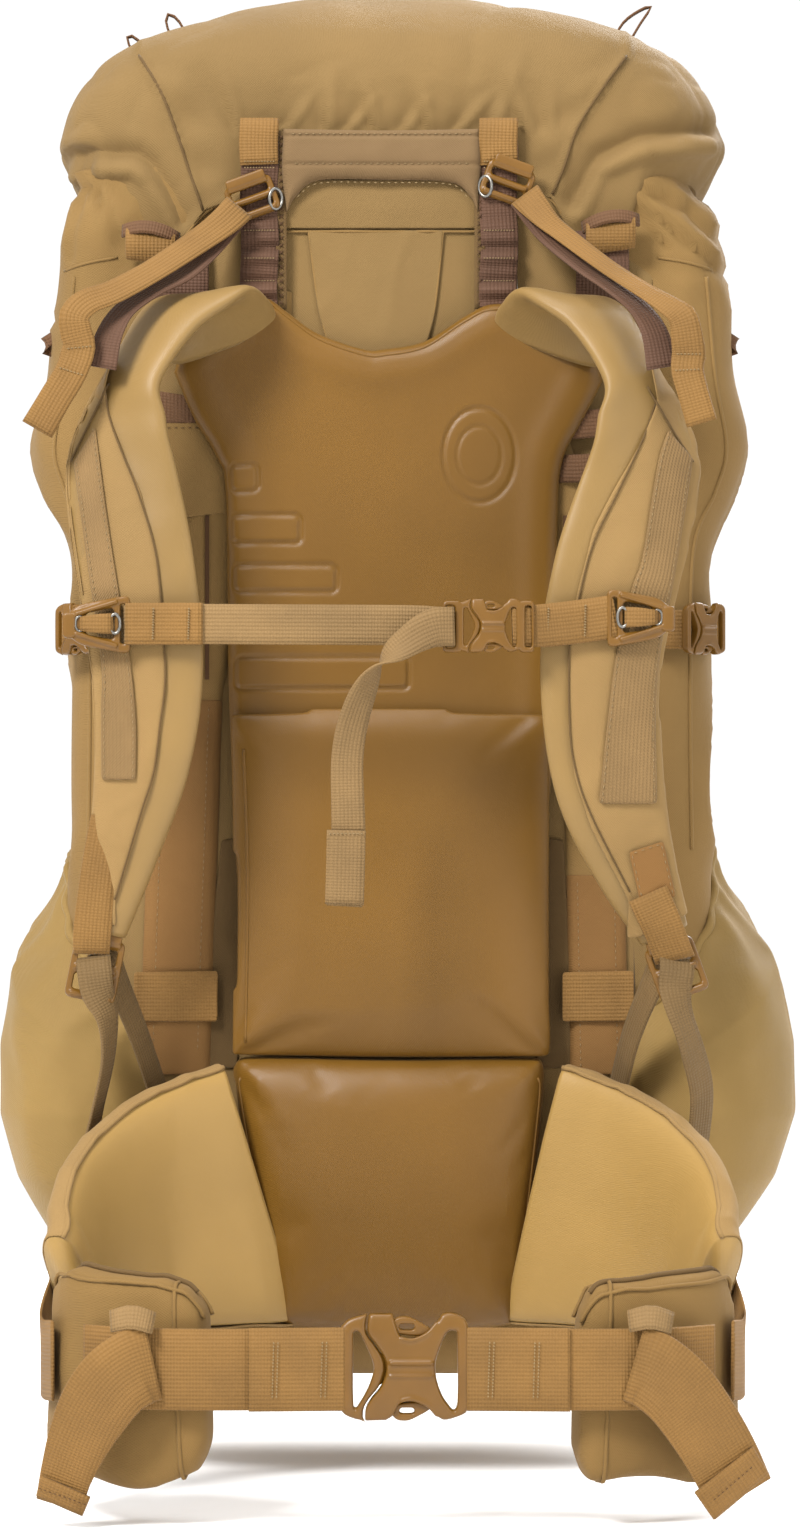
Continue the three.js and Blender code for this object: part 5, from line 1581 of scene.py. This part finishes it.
def build_pockets():
    """A stretch pocket on each side wall, gathered at its mouth."""
    columns, levels = 130, 90
    foot = -696
    share = np.linspace(0, 1, columns)
    heights = np.linspace(-700, -400, 61)
    rings = bag_rows(heights, ROUND)
    for side, sign in SIDES:
        fullness = 0.92 if sign < 0 else 1.1
        mouth = pocket_mouth(side, share)
        z = mouth[None] + np.linspace(0, 1, levels)[:, None] * (foot - mouth[None])
        first, last = (46, 156) if sign > 0 else (354, 244)  # of the places round the bag
        pick = np.linspace(first, last, columns)
        walls = np.stack([[np.interp(pick, np.arange(ROUND), ring[:, k]) for k in (0, 1)] for ring in rings])
        rows = np.stack([[np.interp(z[:, j], heights, walls[:, k, j]) for j in range(columns)]
                         for k in (0, 1)], 2)
        rows = np.concatenate([rows.transpose(1, 0, 2), z[..., None]], axis=2)
        normal = grid_normals(rows)
        normal *= np.sign(np.sum(normal * (rows - (0, 150, -560)), axis=2, keepdims=True))
        # the pocket hugs the bag at its mouth and swells below it
        down = mouth[None] - z
        swell = np.interp(-z, [420, 445, 470, 510, 555, 600, 640, 675, 696],
                          [0, 8, 20, 37, 46, 47, 36, 16, 3])
        swell *= np.clip(down / 45, 0, 1) ** 0.8
        window = np.clip(np.sin(np.pi * np.clip(share * 1.02, 0, 1)) * 1.6, 0, 1)[None] ** 0.8
        push = fullness * swell * window + 2.0
        # folds fall from the gathered mouth and fan out over the swell
        fan = share[None] * 46 + 3 * soft_noise(rows, 50, 82)
        folds = np.abs(np.sin(fan + down * 0.008)) ** 3
        push = push + 4.6 * folds * np.exp(-down / 58) * np.clip(down / 8, 0, 1)
        broad = ridged(rows, 75, 83 + sign, (1, 1, 2.2)) - 0.2
        push = push + 3.2 * broad * window * np.clip(down / 60, 0, 1)
        rows = rows + normal * push[..., None]
        piece = sheet_piece(f"stretch_pocket_{side}", rows, STRETCH, 1.4)
        dress(piece, "pack", f"side_pocket_{side}")
        # the mouth is a ruched binding over elastic
        rim = rows[0] + (1.2 * np.sin(share * 120))[:, None] * normal[0]
        tube(f"pocket_rim_{side}", rim, 3.2, STRETCH, "pack", count=220)
        tube(f"pocket_foot_seam_{side}", rows[-1], 1.6, NYLON_SIDE, "pack", count=110)
        bag_strip(f"pocket_front_seam_{side}", [-430, -500, -560, -620, -694], last / ROUND, 9,
                  NYLON_SIDE, 2.2)


# ---------------------------------------------------------------- hip belt

# Middle of the right wing and of its pod, and their heights, from the pack outwards.
WING_ROUTE = [(99, -17, -649, 165), (122, -33, -653, 158), (146, -52, -659, 149), (164, -70, -668, 140),
              (178, -88, -680, 134), (187, -106, -697, 131), (192, -122, -712, 128)]
WING_THICK = 24
POD_ROUTE = [(194, -146, -737, 124), (191, -160, -741, 128), (178, -184, -745, 132), (146, -204, -747, 130),
             (108, -213, -746, 120)]
POD_THICK = 38
BELT_SHIFT = {"left": 0, "right": 4}  # the belt's right side lies a little further out


def belt_stations(route, side, sign, thick, grow=0.0):
    """Upright stations for sweep_rings: the section's width runs up, its thickness out from the wearer."""
    shift = BELT_SHIFT[side]
    return [(sign * x + shift, y, z, 0, 0, 1, high + grow, thick + grow) for x, y, z, high in route]


def build_wings():
    """The belt's padded wings, with a cloth cover round the outside."""
    for side, sign in SIDES:
        rings = sweep_rings(belt_stations(WING_ROUTE, side, sign, WING_THICK), 70, superellipse(56, 5, 2.6))
        place = rings.reshape(-1, 3)
        # the inner end follows the lumbar pad, which narrows downwards
        inner = np.clip((134 - abs(place[:, 0])) / 32, 0, 1) * np.clip((-584 - place[:, 2]) / 147, 0, 1)
        place[:, 0] -= sign * (26 if sign < 0 else 16) * inner
        place = place + 0.8 * soft_noise(place, 40, 91)[:, None] * (sign * -0.6, -0.6, 0)
        rings = place.reshape(rings.shape)
        fixed, free = ((sign * x + BELT_SHIFT[side]) * MM for x in (100, 138))
        cross = ("pack", f"belt_{side}", (fixed, -0.02, -0.65), (free, -0.05, -0.65))
        pad = tube_piece(f"wing_pad_{side}", rings, WING_FACING)
        dress(pad, cross, f"hip_wing_{side}")
        # the cover starts just inside the top edge and runs round the outside to below the bottom edge
        count = rings.shape[1]
        rows = rings[:, [(sign * k) % count for k in range(3, -count // 2 - 3, -1)]]
        push = unit(rows - rings.mean(axis=1, keepdims=True))
        rows = rows + push * (1.4 + 1.4 * (ridged(rows, 34, 93) - 0.2))[..., None]
        dress(sheet_piece(f"wing_cover_{side}", rows, STRAP_COVER, 1.4), cross)
        tube(f"wing_edge_{side}", rows[:, 0], 1.6, STRAP_COVER, cross, count=60)


def build_pods():
    """The zipped pouches on the belt."""
    length, end_ring = 80, -12
    for side, sign in SIDES:
        stations = belt_stations(POD_ROUTE, side, sign, POD_THICK, -5)
        rings = sweep_rings(stations, length, superellipse(60, 7, 4.5))
        # both ends are rounded off
        middle = rings.mean(axis=1, keepdims=True)
        along = np.arange(length)
        ends = np.clip(np.minimum(along, along[::-1] + 0.5) / 9, 0.02, 1)
        rings = middle + (rings - middle) * (1 - 0.35 * (1 - ends) ** 2)[:, None, None]
        place = rings.reshape(-1, 3)
        lift = 2.6 * (ridged(place, 42, 95 + sign) - 0.3) + 1.2 * soft_noise(place, 24, 96)
        centre = np.repeat(rings.mean(axis=1), rings.shape[1], axis=0)
        place = place + unit(place - centre) * lift[:, None]
        place[:, 2] -= 4 * np.clip((-760 - place[:, 2]) / 40, 0, 1) * np.sin(place[:, 0] / 14)
        rings = place.reshape(rings.shape)
        pod = tube_piece(f"belt_pod_{side}", rings, POD_CLOTH)
        # seams run along the top and bottom edges and round both ends; the panels between them swell
        top = int(np.argmax(rings[0][:, 2]))
        count = rings.shape[1]
        seams = [rings[:, (top + step) % count] for step in (-7, 7, count // 2 - 7, count // 2 + 7)]
        inflate(pod, 7, [*seams, rings[0], rings[end_ring]])
        body = f"belt_{side}"
        dress(pod, body, f"hip_pod_{side}")
        for k, line in enumerate(seams[:2]):
            tube(f"pod_piping_{side}_{k}", line + (0, 0, 0.6), 1.3, POD_CLOTH, body, count=60)
        tube(f"pod_end_piping_{side}", rings[end_ring], 1.3, POD_CLOTH, body, count=90)
        zip_line = Surface(pod).rise(rings[4:-4, top], 1.0)
        tube(f"pod_zip_{side}", zip_line, 1.8, DARK_PANEL, body, count=70)


BELT_Z = -737
# The belt's webbing and the piece sewn over its end, as (x, y) places from the pod to the buckle.
BELT_STRANDS = {
    "left": [(-184, -212), (-150, -233), (-110, -239), (-70, -236.5), (-31, -233), (-25, -232)],
    "right": [(196, -212), (164, -233), (124, -239), (84, -236.5), (50, -233), (43, -232)],
}
OVERLAYS = {"left": [(-84, -240.2), (-60, -238.6), (-26, -236)],
            "right": [(108, -240.6), (80, -238.6), (42, -236)]}
BELT_TAILS = {
    "left": [(-141, -242, -732, 0, 0, 1, 47), (-151, -246, -735, -0.25, 0, 0.96, 47),
             (-164, -247, -744, -0.55, 0, 0.83, 46), (-176, -243, -760, -0.8, 0.05, 0.6, 44),
             (-186, -236, -780, -0.92, 0.1, 0.38, 38), (-194, -228, -802, -0.95, 0.2, 0.3, 32),
             (-198, -223, -820, -0.95, 0.2, 0.3, 30)],
    "right": [(146, -242, -733, 0, 0, 1, 47), (157, -246, -737, 0.3, 0, 0.95, 47),
              (172, -247, -749, 0.55, 0, 0.83, 46), (187, -243, -769, 0.72, 0.1, 0.68, 45),
              (200, -236, -791, 0.76, 0.15, 0.62, 44), (211, -228, -814, 0.76, 0.2, 0.62, 43)],
}


def build_belt_webbing():
    for side, sign in SIDES:
        body = f"belt_{side}"
        strand = upright([(x, y, BELT_Z) for x, y in BELT_STRANDS[side]], 49)
        webbing(f"belt_web_{side}", strand, body, f"belt_webbing_{side}", steps=60)
        sewn = OVERLAYS[side]
        overlay = upright([(x, y, BELT_Z) for x, y in sewn], 50)
        webbing(f"belt_overlay_{side}", overlay, body, steps=24, thick=2.2)
        rows = []
        for x in ((-68, -39) if sign < 0 else (61, 88)):
            y = float(np.interp(x * -sign, [-abs(p[0]) for p in sewn], [p[1] for p in sewn])) - 2.2
            for dx in (-2, 0.6):
                rows.append(([(x + dx, y, BELT_Z - 17), (x + dx + 1, y, BELT_Z + 17)], TO_WEARER))
        stitches(f"belt_tacks_{side}", rows, body, THREAD, pitch=2.0, length=1.7, width=1.0)
        tail = BELT_TAILS[side]
        webbing(f"belt_tail_web_{side}", tail, body, f"belt_tail_{side}", steps=60)
        (x0, y0, z0, *way0, width0), (x1, y1, z1, *way1, width1) = tail[-2:]
        start, end = (x0, y0 - 2, z0 - 6, *way0, width0 + 1), (x1, y1 - 2, z1, *way1, width1 + 1)
        middle = tuple((a + b) / 2 for a, b in zip(start, end))
        webbing(f"belt_tail_hem_{side}", [start, middle, end], body, steps=6, thick=2.2)
        row = [across_line(middle, 16, 2.0)]
        stitches(f"belt_hem_stitches_{side}", row, body, THREAD_DARK, pitch=3, length=2.4)
        x = -153.5 if sign < 0 else 156
        keeper = [(x - 13, -241, -708, 0, 0.5, 1, 14), (x, -245, -705, 0, 0.4, 1, 15),
                  (x + 13, -242, -709, 0, 0.5, 1, 14)]
        webbing(f"belt_keeper_{side}", keeper, body, material=WEBBING_PALE, thick=2.4)
        # the strap runs round the outside of the wing down to the pod
        shift = BELT_SHIFT[side]
        outer = [(sign * (x + 15) + shift, y + 8, z - 2) for x, y, z, _ in WING_ROUTE[3:]]
        outer += [(sign * 213 + shift, -152, BELT_Z), (sign * 204 + shift, -190, BELT_Z)]
        webbing(f"belt_outer_web_{side}", upright(outer, 49), body)


def build_belt_buckle():
    prongs = {label: (f"prong_{label}", f"belt_release_prong_{label}") for label in ("upper", "lower")}
    side_release("belt", (9, -232, BELT_Z), ("belt_left", "belt_buckle_male"),
                 ("belt_right", "belt_buckle_female"), scale=1.0, prongs=prongs)


# ---------------------------------------------------------------- front and lid details


def build_front():
    """The front pocket, with its zip and the tapes across it."""
    top, bottom = [(-99, -152), (0, -149), (99, -152)], [(-99, -598), (0, -601), (99, -598)]
    left, right = [(-99, -152), (-101, -380), (-99, -598)], [(99, -152), (101, -380), (99, -598)]
    flat = coons(top, bottom, left, right, 120, 70)
    border = grid_border(flat)
    d = border_distance(flat, border)
    place = at_depth(flat, 0.0)
    creases = 5 * np.clip(d / 50, 0, 1) + 1.6 * soft_noise(place, 60, 101)
    creases = creases + 1.6 * (ridged(place, 60, 102) - 0.3)
    rows = at_depth(flat, 298.5 + np.maximum(domed_rim(d, 24, 30) + creases, 0.8))
    piece = sheet_piece("front_pocket_cloth", rows, NYLON, 1.6, -1.0)
    dress(piece, "pack", "front_pocket")
    seam = [(x * 1.01, 299.5, z) for x, z in border[::6]]
    tube("front_pocket_seam", seam + seam[:1], 1.6, NYLON_SIDE, "pack", count=260)

    def front(x, z, lift):
        """A place on the pocket's face, lifted off it."""
        nearest = np.argmin(np.hypot(rows[..., 0] - x, rows[..., 2] - z))
        return x, float(rows[..., 1].flat[nearest]) + lift, z

    zip_places = [front(62, z, 2.8) for z in range(-186, -560, -17)]
    build_zip("front_zip", "pack", zip_places, across_x(zip_places, 16), 1.6)
    for k, z in enumerate((-240, -330, -420, -510)):
        webbing(f"front_tape_{k}", upright([front(x, z, 2.2) for x in (-64, -40, -16, 8, 32)], 25), "pack")


def build_zip(name, body, places, stations, radius):
    """A zip's tape, and the closed teeth along its middle."""
    webbing(f"{name}_tape", stations, body, material=DARK_PANEL, thick=1.2)
    tube(f"{name}_teeth", [(x, y + 1.0, z) for x, y, z in places], radius, THREAD_DARK, body)


def build_lid_straps():
    """The lid's two front straps: the upper ends ride with the lid, over its zip."""
    for side, sign in SIDES:
        x = sign * 92
        over = ((262, 112), (290, 92), (306, 72), (313, 56), (313, 46), (309, 28), (307, 0), (305, -26))
        webbing(f"lid_strap_{side}", across_x([(x, y, z) for y, z in over], 20), "lid")
        low = across_x([(x, 304.5, -66), (x, 301, -90), (x, 299.5, -140)], 20)
        webbing(f"lid_strap_low_{side}", low, "pack")
        side_release(f"lid_{side}", (x, 305, -46), ("lid", f"lid_buckle_male_{side}"),
                     ("pack", f"lid_buckle_female_{side}"), (0, math.pi / 2, math.pi))


def build_lid_details():
    """The lid's seams, its small loops and its zip."""
    surface = Surface(bpy.data.objects["lid_cloth"])
    for side, sign in SIDES:
        laid_piping(f"lid_seam_{side}", surface, LID_SEAMS[sign], LID_BLEND, DARK_PANEL,
                    0.8, 0.7)
    loops = (("left_outer", -163, 97, 0.8, 14), ("left_inner", -140, 111, 0.5, 14),
             ("right", 150, 104, -0.9, 26))
    y = 150
    for name, x, z, lean, high in loops:
        tip = lean * high
        run = [(x - 5, y, z - 5), (x - 6 - tip * 0.5, y, z + high * 0.6), (x - tip, y, z + high),
               (x + 4 - tip * 0.5, y, z + high * 0.5), (x + 5, y, z - 5)]
        webbing(f"lid_loop_{name}", [(*p, 0, 1, 0, 9) for p in run], "lid", material=WEBBING_DARK, thick=1.6)
    places = [(-84, 307.5, 52), (-40, 308.5, 52), (0, 309, 52), (40, 308.5, 52), (84, 307.5, 52)]
    build_zip("lid_zip", "lid", places, upright(places, 16), 1.5)


def build_all():
    build_bag()
    build_lid()
    build_lid_details()
    build_back_panel()
    build_sleeves()
    build_ladders()
    build_handle()
    build_yoke()
    build_back_pads()
    for side, sign in SIDES:
        pad, cover = build_strap(side, sign)
        build_strap_details(side, pad, cover)
    build_small_buckles()
    build_side_straps()
    build_lifters()
    build_lower_webbing()
    build_sternum()
    build_pockets()
    build_wings()
    build_pods()
    build_belt_webbing()
    build_belt_buckle()
    build_front()
    build_lid_straps()


build_all()

CAD_LOOKS = {"bag_cloth": NYLON, "sheet_plastic": SHEET_PLASTIC, "stay_metal": ALUMINIUM,
             "moulded_plastic": BUCKLE, "webbing": WEBBING}
for part in frame["record"]["subparts"]:
    node = frame["nodes"][part["node"]]
    node.data.materials.clear()
    node.data.materials.append(CAD_LOOKS.get(part["material_slot"], NYLON))

# ---------------------------------------------------------------- camera, light and floor

CAMERA_PLACE = (6.4, -3600, -376)
PIXEL = 0.64  # millimetres a pixel covers at the back panel
FRAME_HEIGHT = 1531  # pixels
FLOOR_Z = -834
FLOOR_EDGE = 1500
PACK_MIDDLE = (0, 0, -0.35)  # in metres


def build_stage():
    data = bpy.data.cameras.new("camera")
    data.sensor_fit = "VERTICAL"
    data.angle = 2 * math.atan(FRAME_HEIGHT * PIXEL / 2 / -CAMERA_PLACE[1])
    data.clip_end = 50
    camera = linked("camera", data)
    camera.location = Vector(CAMERA_PLACE) * MM
    camera.rotation_euler = (math.pi / 2, 0, 0)
    scene.camera = camera

    def area(name, place, size, power):
        """A soft square light aimed at the pack; places are in metres."""
        light = bpy.data.lights.new(name, "AREA")
        light.shape = "SQUARE"
        light.size = size
        light.energy = power
        holder = linked(name, light)
        holder.location = place
        direction = Vector(PACK_MIDDLE) - Vector(place)
        holder.rotation_euler = direction.to_track_quat("-Z", "Y").to_euler()

    area("key", (-1.4, -2.1, 1.7), 0.9, 165)
    area("fill", (2.2, -2.2, 0.2), 1.4, 26)
    area("top", (0.1, -0.3, 2.4), 1.0, 38)
    area("rear", (1.2, 2.4, 1.5), 1.4, 130)

    world = bpy.data.worlds.new("world")
    world.use_nodes = True
    world.node_tree.nodes["Background"].inputs["Color"].default_value = (1, 1, 1, 1)
    world.node_tree.nodes["Background"].inputs["Strength"].default_value = 1.03
    scene.world = world
    scene.view_settings.view_transform = "Standard"

    look = Look("floor", 0.9, specular=0.0)
    look.shader["Base Color"].default_value = (0.93, 0.93, 0.93, 1)
    corners = [(x * FLOOR_EDGE, y * FLOOR_EDGE, FLOOR_Z) for x, y in ((-1, -1), (1, -1), (1, 1), (-1, 1))]
    make_piece("floor", corners, [(0, 1, 2, 3)], look.material)


build_stage()
